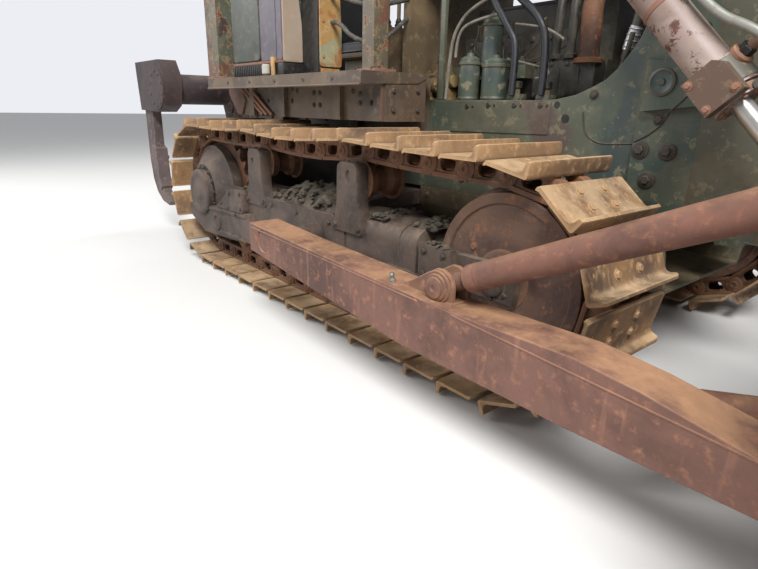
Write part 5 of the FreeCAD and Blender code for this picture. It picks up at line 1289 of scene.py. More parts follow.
def engine_detail():
    """Pump, canisters' bands, pipes, block covers, injectors and brackets in the open bay."""
    shape = Shape()
    # the pump beside the dash
    shape.add(1,
        lathe([(0.03, 0), (0.052, 0.006), (0.06, 0.022), (0.06, 0.088), (0.07, 0.094),
                (0.07, 0.116), (0.052, 0.124), (0.05, 0.168), (0.034, 0.18), (0.03, 0.206)], "X",
            (1.48, -0.375, 1.262), 28),
        block((1.545, -0.42, 1.3), (1.625, -0.33, 1.352), 0.012),
        rod("Z", (1.585, -0.375, 1.345), 0.026, 0.048, 16))
    for x in (1.52, 1.64):
        shape.add(1, block((x - 0.02, -0.425, 1.166), (x + 0.02, -0.325, 1.225), 0.008),
            block((x - 0.034, -0.432, 1.16), (x + 0.034, -0.318, 1.178), 0.004))
    ring_of_bolts(shape, "X", (1.597, -0.375, 1.262), 0.0615, 6, 0.007, 0.008, 0.3, 1)
    for x, z in ((1.51, 1.3), (1.66, 1.262)):
        shape.add(1, bolt(RIGHT, (x, -0.432, z - 0.02), 0.01, 0.012))
    # canister bands and heads
    for x, y, r, low, high in FILTERS:
        shape.add(2,
            lathe([(r - 0.002, low), (r + 0.002, low + 0.004), (r + 0.002, low + 0.012),
                    (r - 0.001, low + 0.016)], "Z", (x, y, 0), 32),
            lathe([(r - 0.001, high - 0.03), (r + 0.005, high - 0.027), (r + 0.005, high - 0.016),
                    (r - 0.002, high - 0.012), (r - 0.004, high + 0.004), (r * 0.55, high + 0.014),
                    (0.02, high + 0.016), (0.018, high + 0.03), (0, high + 0.032)], "Z", (x, y, 0),
                32))
        shape.add(0, bolt("Z", (x, y, high + 0.03), 0.011, 0.012),
            lathe([(0.014, low - 0.016), (0.018, low - 0.01), (0.018, low + 0.002)], "Z",
                (x, y, 0), 12))
    # upright pipes behind the hoses, and the rust-brown elbow
    shape.add(0,
        pipe([(2.262, -0.335, 1.35), (2.262, -0.335, 1.47), (2.262, -0.32, 1.64),
                (2.262, -0.285, 1.7)], 0.021, 16),
        pipe([(2.338, -0.335, 1.35), (2.336, -0.335, 1.46), (2.33, -0.32, 1.64),
                (2.32, -0.285, 1.7)], 0.021, 16))
    for x in (2.262, 2.338):
        shape.add(0,
            lathe([(0.03, 1.346), (0.03, 1.362), (0.024, 1.366)], "Z", (x, -0.335, 0), 18))
    shape.add(3,
        pipe(
            [(2.432, -0.34, 1.335), (2.432, -0.34, 1.44), (2.41, -0.32, 1.56), (2.38, -0.25, 1.6)],
            0.044, 20),
        lathe([(0.06, 1.322), (0.06, 1.34), (0.05, 1.344)], "Z", (2.432, -0.34, 0), 24))
    # the block's side cover, grimy and darkened as painted shade, with its ribs and bolts
    shape.add(0, block((2.16, -0.352, 1.172), (2.478, -0.258, 1.34), 0.018))
    for x in (2.18, 2.26, 2.34, 2.456):
        shape.add(0, bolt(RIGHT, (x, -0.352, 1.322), 0.009, 0.009),
            bolt(RIGHT, (x, -0.352, 1.19), 0.009, 0.009))
    for x in (2.22, 2.3, 2.4):
        shape.add(0, block((x - 0.006, -0.3565, 1.205), (x + 0.006, -0.35, 1.305), 0.002))
    # rocker cover, heads' bolts and injectors
    for index in range(4):
        x = 1.69 + 0.2 * index
        shape.add(0, block((x - 0.07, -0.205, 1.35), (x + 0.07, -0.188, 1.47), 0.008))
        for dx in (-0.05, 0.05):
            shape.add(0, bolt(RIGHT, (x + dx, -0.205, 1.455), 0.01, 0.009))
        shape.add(2, rod((0.15, -0.5, 1), (x, -0.185, 1.48), 0.015, 0.075, 12))
        shape.add(0,
            pipe([(x, -0.2, 1.54), (x + 0.01, -0.225, 1.56), (x + 0.02, -0.24, 1.5),
                    (x - 0.01, -0.25, 1.39), (1.9 + 0.03 * index, -0.262, 1.34)], 0.0035, 8, 8))
    shape.add(0, block((1.6, -0.122, 1.6195), (2.4, 0.122, 1.64), 0.01))
    for x in (1.68, 1.86, 2.04, 2.22, 2.35):
        shape.add(2, bolt("Z", (x, 0.0, 1.64), 0.013, 0.014))
    # injection pump on the shelf
    shape.add(0, block((1.94, -0.328, 1.333), (2.095, -0.262, 1.352), 0.004))
    for index in range(3):
        shape.add(0, rod("Z", (1.962 + 0.045 * index, -0.295, 1.351), 0.01, 0.022, 8))
    # bright wrapped pipe, and small lines
    shape.add(0,
        pipe([(2.623, -0.378, 1.324), (2.635, -0.378, 1.394), (2.655, -0.378, 1.464),
                (2.662, -0.372, 1.555)], 0.022, 16))
    shape.add(5,
        pipe([(2.629, -0.378, 1.36), (2.636, -0.378, 1.396), (2.651, -0.378, 1.446)], 0.0245, 16))
    for z in (1.37, 1.392, 1.414, 1.436):
        shape.add(5,
            lathe([(0.0255, -0.003), (0.0275, 0), (0.0255, 0.003)], (0.2, 0, 1),
                (2.629 + (z - 1.36) * 0.25, -0.378, z), 18))
    shape.add(4,
        pipe([(1.7, -0.455, 1.17), (1.712, -0.455, 1.33), (1.73, -0.45, 1.5), (1.84, -0.42, 1.62),
                (2.0, -0.38, 1.66)], 0.0085, 10, 8),
        pipe([(1.752, -0.45, 1.372), (1.752, -0.45, 1.48), (1.83, -0.43, 1.54),
                (1.96, -0.38, 1.56)], 0.0075, 10, 8),
        pipe([(2.06, -0.42, 1.352), (2.21, -0.42, 1.318), (2.29, -0.42, 1.3), (2.3, -0.42, 1.268),
                (2.23, -0.42, 1.262)], 0.005, 8, 8),
        pipe([(2.0, -0.3, 1.52), (2.12, -0.33, 1.5), (2.25, -0.37, 1.47), (2.33, -0.38, 1.42)],
            0.006, 8, 8))
    shape.add(0,
        pipe([(2.48, -0.33, 1.2), (2.56, -0.38, 1.22), (2.64, -0.42, 1.3), (2.66, -0.42, 1.42)],
            0.01, 10, 8))
    # upright angle bar at the bay's rear corner
    shape.add(2, block((1.64, -0.462, 1.168), (1.676, -0.44, 1.795), 0.003),
        block((1.64, -0.462, 1.168), (1.648, -0.42, 1.795), 0.002))
    # hose fittings at the rail
    for x, low in ((2.139, 1.172), (2.301, 1.166)):
        shape.add(2,
            block((x - 0.034, -0.462, low - 0.01), (x + 0.034, -0.398, low + 0.022), 0.006),
            rod("Z", (x, -0.43, low + 0.02), 0.017, 0.03, 6))
        shape.add(0, rod("Z", (x, -0.43, low + 0.048), 0.0225, 0.03, 20))
    # valve block under the hood where the hoses start
    shape.add(2, block((1.8, -0.385, 1.725), (2.12, -0.29, 1.7945), 0.01))
    for x in (1.9, 2.03):
        shape.add(0, rod(DOWN, (x, -0.388, 1.76), 0.0225, 0.03, 20))
    return piece("engine_detail", shape, "tractor",
        [ENGINE, PUMP, CANISTER, LINK, DULL_LINE, FOIL], 38)


def hose(name, points, diameter, material):
    """A rubber hose that leaves at its first point."""
    points = [(x + SPROCKET_X, y, z) for x, y, z in points]
    curve, spline = smooth_curve(name, points, diameter / 2, 5, 16)
    curve.materials.append(material)
    thing = bpy.data.objects.new(name, curve)
    bpy.context.scene.collection.objects.link(thing)
    bpy.context.view_layer.update()
    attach(thing, "tractor")
    return thing


def hoses():
    """Two pressure hoses down to the side frame's rail, two from the console to the dash."""
    hose("hose_pump", [(1.9, -0.388, 1.786), (1.9, -0.388, 1.69), (1.96, -0.44, 1.62),
            (2.08, -0.455, 1.48), (2.139, -0.455, 1.4), (2.139, -0.472, 1.186)], 0.034, HOSE)
    hose("hose_valve", [(2.03, -0.388, 1.786), (2.03, -0.388, 1.7), (2.08, -0.44, 1.63),
            (2.24, -0.455, 1.52), (2.301, -0.455, 1.4), (2.301, -0.472, 1.186)], 0.034, HOSE)
    hose("hose_console", [(1.12, -0.79, 1.56), (1.2, -0.79, 1.56), (1.29, -0.77, 1.47),
            (1.4, -0.68, 1.44), (1.41, -0.56, 1.52), (1.36, -0.43, 1.6)], 0.024, GREY_HOSE)
    hose("hose_upper", [(1.12, -0.8, 1.69), (1.18, -0.8, 1.69), (1.3, -0.72, 1.64),
            (1.35, -0.6, 1.64), (1.37, -0.43, 1.69)], 0.026, GREY_HOSE)


def side_frame_detail():
    """Bolts, open holes drawn as black discs of painted shade, the boss and the weld seams on the
    side frames and the nose.
    """
    shape = Shape()
    for x, z in ((1.902, 1.137), (2.036, 1.143), (2.189, 1.144), (2.329, 1.145)):
        shape.add(1, bolt(RIGHT, (x, -0.5, z), 0.013, 0.011),
            bolt(RIGHT, (x + 0.036, -0.5, z - 0.002), 0.008, 0.008))
    # Open holes: black discs whose darkness is painted shade, the shade inside each hole.
    for x, z, r in ((2.41, 1.146, 0.012), (2.457, 1.09, 0.017), (2.282, 1.054, 0.01),
            (1.76, 1.142, 0.008)):
        shape.add(2,
            lathe([(r + 0.003, -0.0005), (r + 0.002, 0.0012), (r, 0.0012), (r - 0.0006, 0.0004),
                    (0, 0.0004)], RIGHT, (x, -0.5, z), 18))
    for x, z in ((2.577, 1.186), (2.32, 0.8), (1.4, 1.1), (1.15, 1.1), (1.15, 0.78), (1.4, 0.78),
            (1.9, 0.78)):
        shape.add(1, bolt(RIGHT, (x, -0.5, z), 0.014, 0.011))
    shape.add(0,
        plate([rounded([(1.66, 1.01), (2.38, 1.02), (2.38, 1.158), (1.66, 1.158)], 0.008)],
            -0.5045, -0.499, "XZ", 0.001),
        lathe([(0.05, -0.001), (0.048, 0.006), (0.04, 0.008), (0.036, 0.005), (0.014, 0.005),
                (0.011, 0.009), (0, 0.009)], RIGHT, (2.87, -0.562, 1.227), 32))
    for x, z in ((2.815, 0.986), (2.916, 0.986), (2.857, 0.877)):
        shape.add(1,
            lathe([(0.034, -0.001), (0.033, 0.005), (0.028, 0.007), (0.012, 0.007)], RIGHT,
                (x, -0.53, z), 24),
            bolt(RIGHT, (x, -0.536, z), 0.018, 0.014))
    shape.add(1, bolt(RIGHT, (2.867, -0.53, 1.097), 0.015, 0.012),
        pipe([(2.993, -0.5625, 1.215), (2.972, -0.5625, 1.19), (2.945, -0.5625, 1.157),
                (2.917, -0.5625, 1.13)], 0.0035, 8),
        pipe([(2.899, -0.5305, 1.122), (2.881, -0.5305, 1.083), (2.859, -0.5305, 1.061),
                (2.826, -0.5305, 1.034), (2.786, -0.5305, 1.015)], 0.0035, 8),
        pipe([(2.776, -0.5005, 1.006), (2.709, -0.5005, 1.0), (2.633, -0.5005, 0.996),
                (2.576, -0.5005, 1.017), (2.547, -0.5005, 1.056), (2.538, -0.5005, 1.12)], 0.003,
            8))
    for z in (1.4, 1.6, 1.78):
        shape.add(1, bolt(RIGHT, (2.8, -0.53, z), 0.01, 0.009),
            bolt(RIGHT, (2.975, -0.53, z), 0.012, 0.01))
    return piece("side_frame_detail", both_sides(shape), "tractor", [FLANK, CASE, SEAL],
        38)


def nose_shroud():
    """The guard's sides and roof that stand forward of the grille, with their front flange."""
    shape = Shape()
    outer = [(-0.53, 0.706), (-0.53, 1.83), (-0.42, 1.96), (0.42, 1.96), (0.53, 1.83),
        (0.53, 0.706)]
    roof = outer[1:5] + [(0.516, 1.824), (0.414, 1.946), (-0.414, 1.946), (-0.516, 1.824)]
    flange = [(0.485, 0.706), (0.485, 1.811), (0.401, 1.915), (-0.401, 1.915), (-0.485, 1.811),
        (-0.485, 0.706)]
    shape.add(0, prism(roof, 3.0085, 3.256, "YZ"),
        block((3.0085, -0.53, 0.706), (3.256, -0.516, 1.83), 0.003),
        block((3.0085, 0.516, 0.706), (3.256, 0.53, 1.83), 0.003),
        prism(outer + flange, 3.256, 3.264, "YZ"))
    for side in (-1, 1):
        for z in (0.8, 1.05, 1.3, 1.55, 1.78):
            shape.add(1, bolt("X", (3.264, side * 0.508, z), 0.01, 0.009))
        for z in (0.9, 1.62):
            shape.add(1,
                block((3.01, side * 0.516 - 0.003, z), (3.06, side * 0.516 + 0.003, z + 0.06)))
    return piece("nose_shroud", shape, "tractor", [NOSE, CASE], 38)


def lift_detail(side):
    """Trunnion band, port, steel line, gland and clamps on a lift cylinder's barrel."""
    name = "left" if side > 0 else "right"
    pin = Vector((TRUNNION[0], side * LIFT_Y, TRUNNION[1]))
    eye = Vector((ROD_EYE[0], side * LIFT_Y, ROD_EYE[1]))
    way = (eye - pin).normalized()
    up = Vector((-way.z, 0, way.x))
    if up.z < 0:
        up = -up
    out = Vector((0, side, 0))
    shape = Shape()

    def at(run, rise=0.0, aside=0.0):
        return pin + way * run + up * rise + out * aside
    shape.add(1, band(0.0865, 0.004, 0.046, tuple(way), pin, 44, 0.004))
    shape.add(0,
        lathe([(0.0665, -0.78), (0.0715, -0.776), (0.0715, -0.752), (0.0665, -0.748)], tuple(way),
            pin, 40))
    shape.add(2,
        lathe([(0.0765, 0.058), (0.079, 0.062), (0.079, 0.076), (0.076, 0.08)], tuple(way), pin,
            40))
    ring_of_bolts(shape, tuple(way), at(0.0845), 0.058, 8, 0.008, 0.008, 0.2, 2)
    aslant = (up + out * 0.25).normalized()
    port = pin + way * -0.03
    shape.add(2, rod(tuple(aslant), port + aslant * 0.08, 0.036, 0.02, 24, 0.004))
    shape.add(3, rod(tuple(aslant), port + aslant * 0.098, 0.024, 0.026, 6, 0.003))
    elbow = [tuple(port + aslant * rise + way * run) for rise,
        run in ((0.11, 0), (0.15, 0.004), (0.152, 0.03), (0.15, 0.07))]
    shape.add(2, pipe(elbow, 0.017, 16, 8),
        rod(tuple(way), port + aslant * 0.15 + way * 0.052, 0.024, 0.022, 24, 0.004))
    line = [tuple(pin + aslant * rise + way * run + out * 0.02) for rise,
        run in ((0.07, 0.078), (0.14, 0.078), (0.176, 0.03), (0.158, -0.06), (0.114, -0.16),
            (0.104, -0.3), (0.104, -0.6), (0.09, -0.7), (0.05, -0.735))]
    shape.add(4, pipe(line, 0.0145, 16, 10))
    for run in (-0.33, -0.6):
        shape.add(2, band(0.0672, 0.0023, 0.01, tuple(way), pin + way * run, 40))
        grip = pin + way * (run - 0.012) + aslant * 0.068 + out * 0.018
        shape.add(2, rod(tuple(aslant), grip + way * 0.012, 0.012, 0.03, 12))
    cheek = [(-0.046, -0.066), (0.083, -0.066), (0.083, 0.062), (-0.02, 0.062), (-0.046, 0.04)]
    verts, faces = prism(cheek, 0.0775, 0.1215)
    shape.add(1, ([tuple(at(run, rise, aside)) for run, aside, rise in verts], faces))
    for run in (-0.03, 0.066):
        for rise in (-0.05, 0.046):
            if run > 0 or rise < 0:
                shape.add(2, bolt(tuple(out), at(run, rise, 0.1215), 0.01, 0.01))
    return piece("lift_fittings_" + name, shape, "lift_barrel_" + name,
        [PRIMER, GREEN, ARM, SEAL, LINE], 38)


fender_detail()
battery_side()
lid_detail()
tanks()
seat()
dash()
engine_detail()
hoses()
side_frame_detail()
nose_shroud()
lift_detail(-1)
lift_detail(1)

# --- ripper

def cap_disc(shape, axis, centre, radius):
    """A turned pin head with a keeper bolt in its face."""
    shape.add(0,
        lathe([(radius, -0.001), (radius, 0.008), (radius - 0.006, 0.012), (radius * 0.45, 0.012),
                (radius * 0.4, 0.009), (0, 0.009)], axis, centre, 28))
    side = Vector(centre) + Vector(axis) * 0.012
    shape.add(0, bolt(axis, tuple(side + Vector((0, 0, radius * 0.62))), 0.009, 0.007))


# X and Z of the ripper beam's axis and of the shank pins, and the shanks' places across
BEAM_AXIS, SHANK_PIN, SHANKS = (-1.08, 1.235), (-1.45, 1.3), (-0.96, 0.0, 0.96)
ARM_END_X, ARM_END_Z, LINK_END_Z = -0.94, 0.83, 1.09
HALF_HOLDER = 0.08


def ripper_fasteners():
    """Pin heads, welds, hub bolts and keepers of the ripper, each on the body it turns with."""
    fixed, lower, upper, beam = Shape(), Shape(), Shape(), Shape()
    for side in (-1, 1):
        axis = (0, side, 0)
        for x, z in ((-0.65, 0.52), (-0.65, 0.78)):
            cap_disc(fixed, axis, (x, side * 0.414, z), 0.046)
        for x, z in ((-0.56, 0.6), (-0.56, 0.9), (-0.58, 1.12)):
            fixed.add(0, bolt(axis, (x, side * 0.325, z), 0.014, 0.012))
        fixed.add(0,
            lathe([(0.048, -0.002), (0.048, 0.006), (0.036, 0.01), (0, 0.01)], axis,
                (-0.668, side * 0.325, 1.4), 28))
        cap_disc(lower, axis, (ARM_END_X, side * 0.452, ARM_END_Z), 0.05)
        cap_disc(upper, axis, (ARM_END_X, side * 0.452, LINK_END_Z), 0.05)
        beam.add(0,
            lathe([(0.166, -0.006), (0.168, 0.0), (0.16, 0.003), (0.06, 0.003), (0.056, -0.001)],
                axis, (BEAM_AXIS[0], side * 1.0365, BEAM_AXIS[1]), 56))
        for index in range(10):
            turn = 2 * math.pi * (index + 0.5) / 10
            spot = (BEAM_AXIS[0] + 0.138 * math.cos(turn), side * 1.0395,
                BEAM_AXIS[1] + 0.138 * math.sin(turn))
            beam.add(0, bolt(axis, spot, 0.011, 0.01))
    for y in SHANKS:
        for side in (-1, 1):
            face = y + side * HALF_HOLDER
            if abs(face) > 1.03:
                continue
            beam.add(0,
                lathe([(0.034, -0.001), (0.034, 0.01), (0.028, 0.014), (0, 0.014)], (0, side, 0),
                    (SHANK_PIN[0], face, SHANK_PIN[1]), 24),
                block((-1.478, face + min(0, side * 0.016), 1.328),
                    (-1.422, face + max(0, side * 0.016), 1.344), 0.002))
        ring = arc(BEAM_AXIS[0], BEAM_AXIS[1], 0.1245, 21, 0, 2 * math.pi)
        for face in (y - HALF_HOLDER, y + HALF_HOLDER):
            if abs(face) < 1.0:
                beam.add(0, pipe([(x, face, z) for x, z in ring], 0.006, 8, 20))
    for y in SHANKS:
        for side in (-1, 1):
            face = y + side * 0.0385
            for z in (0.86, 0.99):
                beam.add(1,
                    lathe([(0.03, -0.001), (0.03, 0.0015), (0.022, 0.0015), (0.022, 0.0005),
                            (0, 0.0005)], (0, side, 0), (-1.45, face, z), 24))
            beam.add(1,
                rod((0, side, 0), (-1.33, y + side * 0.052, 0.655), 0.014, 0.008, 16, 0.002))
    for name, shape, body, skins in (("ripper_pin_heads", fixed, "tractor", [RIPPER]),
            ("ripper_arm_heads", lower, "ripper_arms", [RIPPER]),
            ("ripper_link_heads", upper, "ripper_links", [RIPPER]),
            ("ripper_beam_detail", beam, "ripper_beam", [RIPPER, SHANK])):
        piece(name, shape, body, skins, 38)


# --- blade face

def blade_face():
    """Plough bolts of the cutting edge, its seams and the bead along the board's top."""
    shape = Shape()
    normal, up = Vector((0.9484, 0, 0.3171)), Vector((-0.3171, 0, 0.9484))
    foot = Vector((4.0577, 0, 0.0209))
    for run in (0.06, 0.15):
        spot = foot + up * run
        for index in range(13):
            y = -1.74 + index * 0.29
            shape.add(1,
                lathe([(0.019, -0.002), (0.019, 0.0008), (0.009, 0.0008), (0.008, -0.001),
                        (0, -0.001)], tuple(normal), (spot.x, y, spot.z), 20))
            back = spot - normal * 0.0285
            shape.add(1, bolt(tuple(-normal), (back.x, y, back.z), 0.016, 0.01))
    for y in (-1.37, 0.0, 1.37):
        low, high = foot + up * 0.004, foot + up * 0.207
        shape.add(1, pipe([(low.x, y, low.z), (high.x, y, high.z)], 0.0022, 8))
    seam = foot + up * 0.211 - normal * 0.004
    shape.add(0, pipe([(seam.x, -1.826, seam.z), (seam.x, 1.826, seam.z)], 0.005, 8))
    return piece("blade_face_detail", shape, "blade_frame", [BLADE, EDGE], 38)


# --- canopy

def canopy_detail():
    """Foot plates, gussets, stiffeners and lifting eyes of the post canopy."""
    shape = Shape()
    for side in (-1, 1):
        for x, half, reach in ((0.14, 0.085, 0.2), (1.659, 0.044, 0.16)):
            for way in (-1, 1):
                edge = x + way * half
                if not 0.0 < edge + way * reach < 1.82:
                    continue
                y = side * 0.9055
                shape.add(0,
                    prism([(edge, 2.71 - reach), (edge, 2.795), (edge + way * reach, 2.795),
                            (edge + way * reach, 2.78)], y - 0.006, y + 0.006, "XZ"))
            inner = side * (0.88 if half > 0.05 else 0.862)
            low = 2.71 if half > 0.05 else 2.792
            shape.add(0,
                prism([(inner, low - 0.18), (inner, low), (inner - side * 0.18, low),
                        (inner - side * 0.18, low - 0.015)], x - 0.006, x + 0.006, "YZ"))
        shape.add(0, pipe([(0.02, side * 1.0905, 2.884), (1.77, side * 1.0905, 2.884)], 0.0045, 8))
    for x in (0.45, 0.8, 1.15, 1.45):
        shape.add(0, block((x - 0.022, -0.868, 2.855), (x + 0.022, 0.868, 2.8796), 0.003))
    for x in (-0.05, 1.808):
        shape.add(0, pipe([(x, -1.06, 2.885), (x, 1.06, 2.885)], 0.0045, 8))
    for x in (0.3, 0.6, 0.95, 1.3, 1.52):
        for side in (-1, 1):
            shape.add(0, bolt(DOWN, (x, side * 1.02, 2.8802), 0.01, 0.009))
    return piece("canopy_detail", shape, "tractor", [CAMO], 38)


# --- hood, nose and stack

def hood_detail():
    """Seams, latches, handles, cap and bolts of the hood and the tanks."""
    shape = Shape()
    for side in (-1, 1):
        for x in (1.56, 2.1, 2.62):
            y = side * 0.4
            shape.add(0,
                block((x - 0.02, y + min(0, side * 0.006), 1.815),
                    (x + 0.02, y + max(0, side * 0.006), 1.88), 0.003))
            shape.add(1, bolt((0, side, 0), (x, y + side * 0.006, 1.865), 0.008, 0.006),
                rod("X", (x - 0.019, y + side * 0.011, 1.822), 0.005, 0.038, 10))
        for x in (1.8, 2.36):
            y = side * 0.402
            shape.add(1,
                pipe([(x - 0.06, y, 1.85), (x - 0.06, y + side * 0.032, 1.85),
                        (x + 0.06, y + side * 0.032, 1.85), (x + 0.06, y, 1.85)], 0.006, 10, 8))
        shape.add(0, pipe([(1.4, side * 0.342, 1.944), (2.775, side * 0.342, 1.944)], 0.0035, 8))
    shape.add(0, rod("X", (1.4, 0, 1.945), 0.0055, 1.36, 12))
    for x in (1.62, 2.08, 2.5):
        shape.add(0, block((x - 0.03, -0.02, 1.944), (x + 0.03, 0.02, 1.95), 0.002))
    shape.add(1,
        lathe([(0.052, -0.001), (0.052, 0.014), (0.046, 0.02), (0, 0.02)], "Z", (2.66, 0, 1.945),
            32))
    for angle in range(3):
        turn = math.radians(120 * angle)
        shape.add(1,
            rod("Z", (2.66 + 0.052 * math.cos(turn), 0.052 * math.sin(turn), 1.956), 0.007, 0.018,
                10))
    for x in (1.395, 2.772):
        for y in (-0.28, -0.14, 0.14, 0.28):
            shape.add(1, bolt("Z", (x + (0.02 if x < 2 else -0.02), y, 1.945), 0.008, 0.006))
    tower = (1.76, -0.15)
    for z in (2.16, 2.31):
        shape.add(1, band(0.1302, 0.0028, 0.01, "Z", (tower[0], tower[1], z), 44),
            block((tower[0] - 0.016, tower[1] - 0.152, z - 0.01),
                (tower[0] + 0.016, tower[1] - 0.13, z + 0.01), 0.002))
    for index in range(12):
        turn = 2 * math.pi * index / 12
        low = Vector(
            (tower[0] + 0.112 * math.cos(turn), tower[1] + 0.112 * math.sin(turn), 2.1446))
        shape.add(1,
            block((low.x - 0.006, low.y - 0.006, 2.1385), (low.x + 0.006, low.y + 0.006, 2.1452)))
    shape.add(1, band(0.0625, 0.0045, 0.014, "Z", (tower[0], tower[1], 2.04), 32))
    return piece("hood_detail", shape, "tractor", [GREEN, DULL_LINE], 38)


def stack_detail():
    """Bands, seam and rain flap of the exhaust stack, and its elbow flanges."""
    shape = Shape()
    x, y = 2.15, 0.262
    for z in (2.035, 2.11, 2.455, 2.53):
        shape.add(0, band(0.0952, 0.0026, 0.011, "Z", (x, y, z), 44),
            block((x - 0.014, y - 0.118, z - 0.009), (x + 0.014, y - 0.094, z + 0.009), 0.002))
    shape.add(0, pipe([(x - 0.0955, y, 2.01), (x - 0.0955, y, 2.56)], 0.003, 8),
        lathe([(0.0525, -0.03), (0.056, -0.028), (0.056, -0.002), (0.0525, 0)], "Z", (x, y, 2.78),
            32),
        lathe([(0.05, -0.003), (0.05, 0.002), (0, 0.002)], "Z", (x, y, 2.7842), 32),
        rod("Y", (x + 0.052, y - 0.03, 2.778), 0.006, 0.06, 10, 0.001),
        block((x + 0.044, y - 0.03, 2.745), (x + 0.058, y - 0.024, 2.784), 0.001),
        block((x + 0.044, y + 0.024, 2.745), (x + 0.058, y + 0.03, 2.784), 0.001))
    for index in range(4):
        pipe_x = 1.69 + index * 0.2
        shape.add(0,
            lathe([(0.0345, -0.008), (0.052, -0.008), (0.052, 0.006), (0.0345, 0.006)], "Y",
                (pipe_x, 0.201, 1.44), 24))
        for dx in (-0.04, 0.04):
            shape.add(0, bolt("Y", (pipe_x + dx, 0.207, 1.44), 0.009, 0.01))
    return piece("stack_detail", shape, "tractor", [LINK], 38)


def nose_detail():
    """Screen, bolts, lamp rims and lenses, hinges and welds of the radiator guard."""
    shape = Shape()
    for index in range(29):
        z = 0.85 + index * 0.034
        shape.add(1, rod("Y", (2.9765, -0.425, z), 0.0026, 0.85, 6, 0.0005))
    for side in (-1, 1):
        for z in (0.86, 1.1, 1.34, 1.58, 1.8):
            shape.add(1, bolt("X", (3.01, side * 0.5, z), 0.012, 0.01))
        for z in (0.98, 1.32, 1.66):
            shape.add(1, rod("Z", (2.9995, side * 0.448, z), 0.0095, 0.085, 14, 0.002))
        lamp = (3.01, side * 0.38, 2.082)
        shape.add(2,
            lathe([(0.0785, -0.014), (0.081, -0.012), (0.081, 0.003), (0.074, 0.005),
                    (0.069, 0.005), (0.068, 0.0005)], "X", lamp, 40))
        shape.add(3,
            lathe([(0.0685, 0.0005), (0.06, 0.0035), (0.04, 0.0065), (0.018, 0.0082), (0, 0.0088)],
                "X", lamp, 40))
        back = (2.92, side * 0.38, 2.082)
        shape.add(2,
            lathe([(0.074, 0.0), (0.06, -0.014), (0.03, -0.022), (0, -0.024)], "X", back, 32))
        for z in (2.15, 2.014):
            shape.add(1, bolt("X", (3.0135, side * 0.38, z), 0.005, 0.004))
        shape.add(0, pipe([(2.79, side * 0.5305, 1.833), (3.004, side * 0.5305, 1.833)], 0.004, 8),
            pipe([(2.79, side * 0.4205, 1.9605), (3.004, side * 0.4205, 1.9605)], 0.004, 8))
    for x, y in ((3.0995, 0.11), (3.0995, -0.11)):
        shape.add(1, bolt("X", (x, y, 0.682), 0.02, 0.014))
    shape.add(0,
        lathe([(0.0302, -0.003), (0.04, -0.002), (0.046, 0.0), (0.04, 0.003), (0.0302, 0.003)],
            "Z", (3.23, 0, 0.6905), 32))
    return piece("nose_detail", shape, "tractor", [FLANK, DULL_LINE, DARK_BOX, GLASS],
        38)


# --- rear and underside

def rear_detail():
    """Tank straps, caps, plugs and bolts at the machine's rear and below it."""
    shape = Shape()
    for y in (-0.3, 0.3):
        strap = [(-0.5625, 1.3), (-0.5625, 1.78), (-0.442, 1.9025), (-0.038, 1.9025),
            (0.0225, 1.842), (0.0225, 1.3)]
        inner = [(-0.56, 1.3), (-0.56, 1.779), (-0.441, 1.9), (-0.039, 1.9), (0.02, 1.841),
            (0.02, 1.3)]
        shape.add(0, prism(strap + inner[::-1], y - 0.025, y + 0.025, "XZ"))
        for x in (-0.5625, 0.0225):
            way = 1 if x > 0 else -1
            shape.add(1, bolt((way, 0, 0), (x, y, 1.33), 0.012, 0.01))
    shape.add(1,
        lathe([(0.0602, -0.004), (0.066, -0.002), (0.066, 0.016), (0.058, 0.022), (0.02, 0.024),
                (0, 0.024)], "Z", (-0.2, 0.25, 1.92), 40),
        lathe([(0.0482, -0.004), (0.053, -0.002), (0.053, 0.012), (0.046, 0.0165), (0, 0.0165)],
            "Z", (0.78, 0.79, 1.853), 36))
    shape.add(0, panel(0.42, 0.82, 1.36, 1.79, 0.04, 0.985, 0.99, 0.003))
    shape.add(1, rod("Z", (0.36, 0.9915, 1.47), 0.006, 0.18, 12))
    for z in (1.47, 1.65):
        shape.add(1, bolt("Y", (0.36, 0.985, z), 0.012, 0.012))
    for x in (-0.4, -0.15, 0.1, 0.35, 0.6):
        for side in (-1, 1):
            shape.add(2, bolt((0, side, 0), (x, side * 0.4697, 1.04), 0.014, 0.012))
    for x, y in ((-0.3, 0.0), (0.3, 0.0), (0.85, 0.0)):
        shape.add(2, rod(DOWN, (x, y, 0.4205), 0.04, 0.012, 28, 0.003),
            bolt(DOWN, (x, y, 0.409), 0.018, 0.012))
    for x in (1.25, 1.66, 2.1, 2.5, 2.85):
        for y in (-0.36, 0.36):
            shape.add(3, bolt(DOWN, (x, y, 0.4105), 0.016, 0.012))
    for side in (-1, 1):
        for x in (1.26, 1.64, 2.02, 2.4, 2.78):
            shape.add(3, bolt((0, side, 0), (x, side * 0.5, 0.664), 0.012, 0.01))
    for x in (1.9, 2.4):
        shape.add(3, pipe([(x, -0.4, 0.4095), (x, 0.4, 0.4095)], 0.003, 8))
    return piece("rear_detail", shape, "tractor", [GREEN, DULL_LINE, CASE, OLIVE], 38)


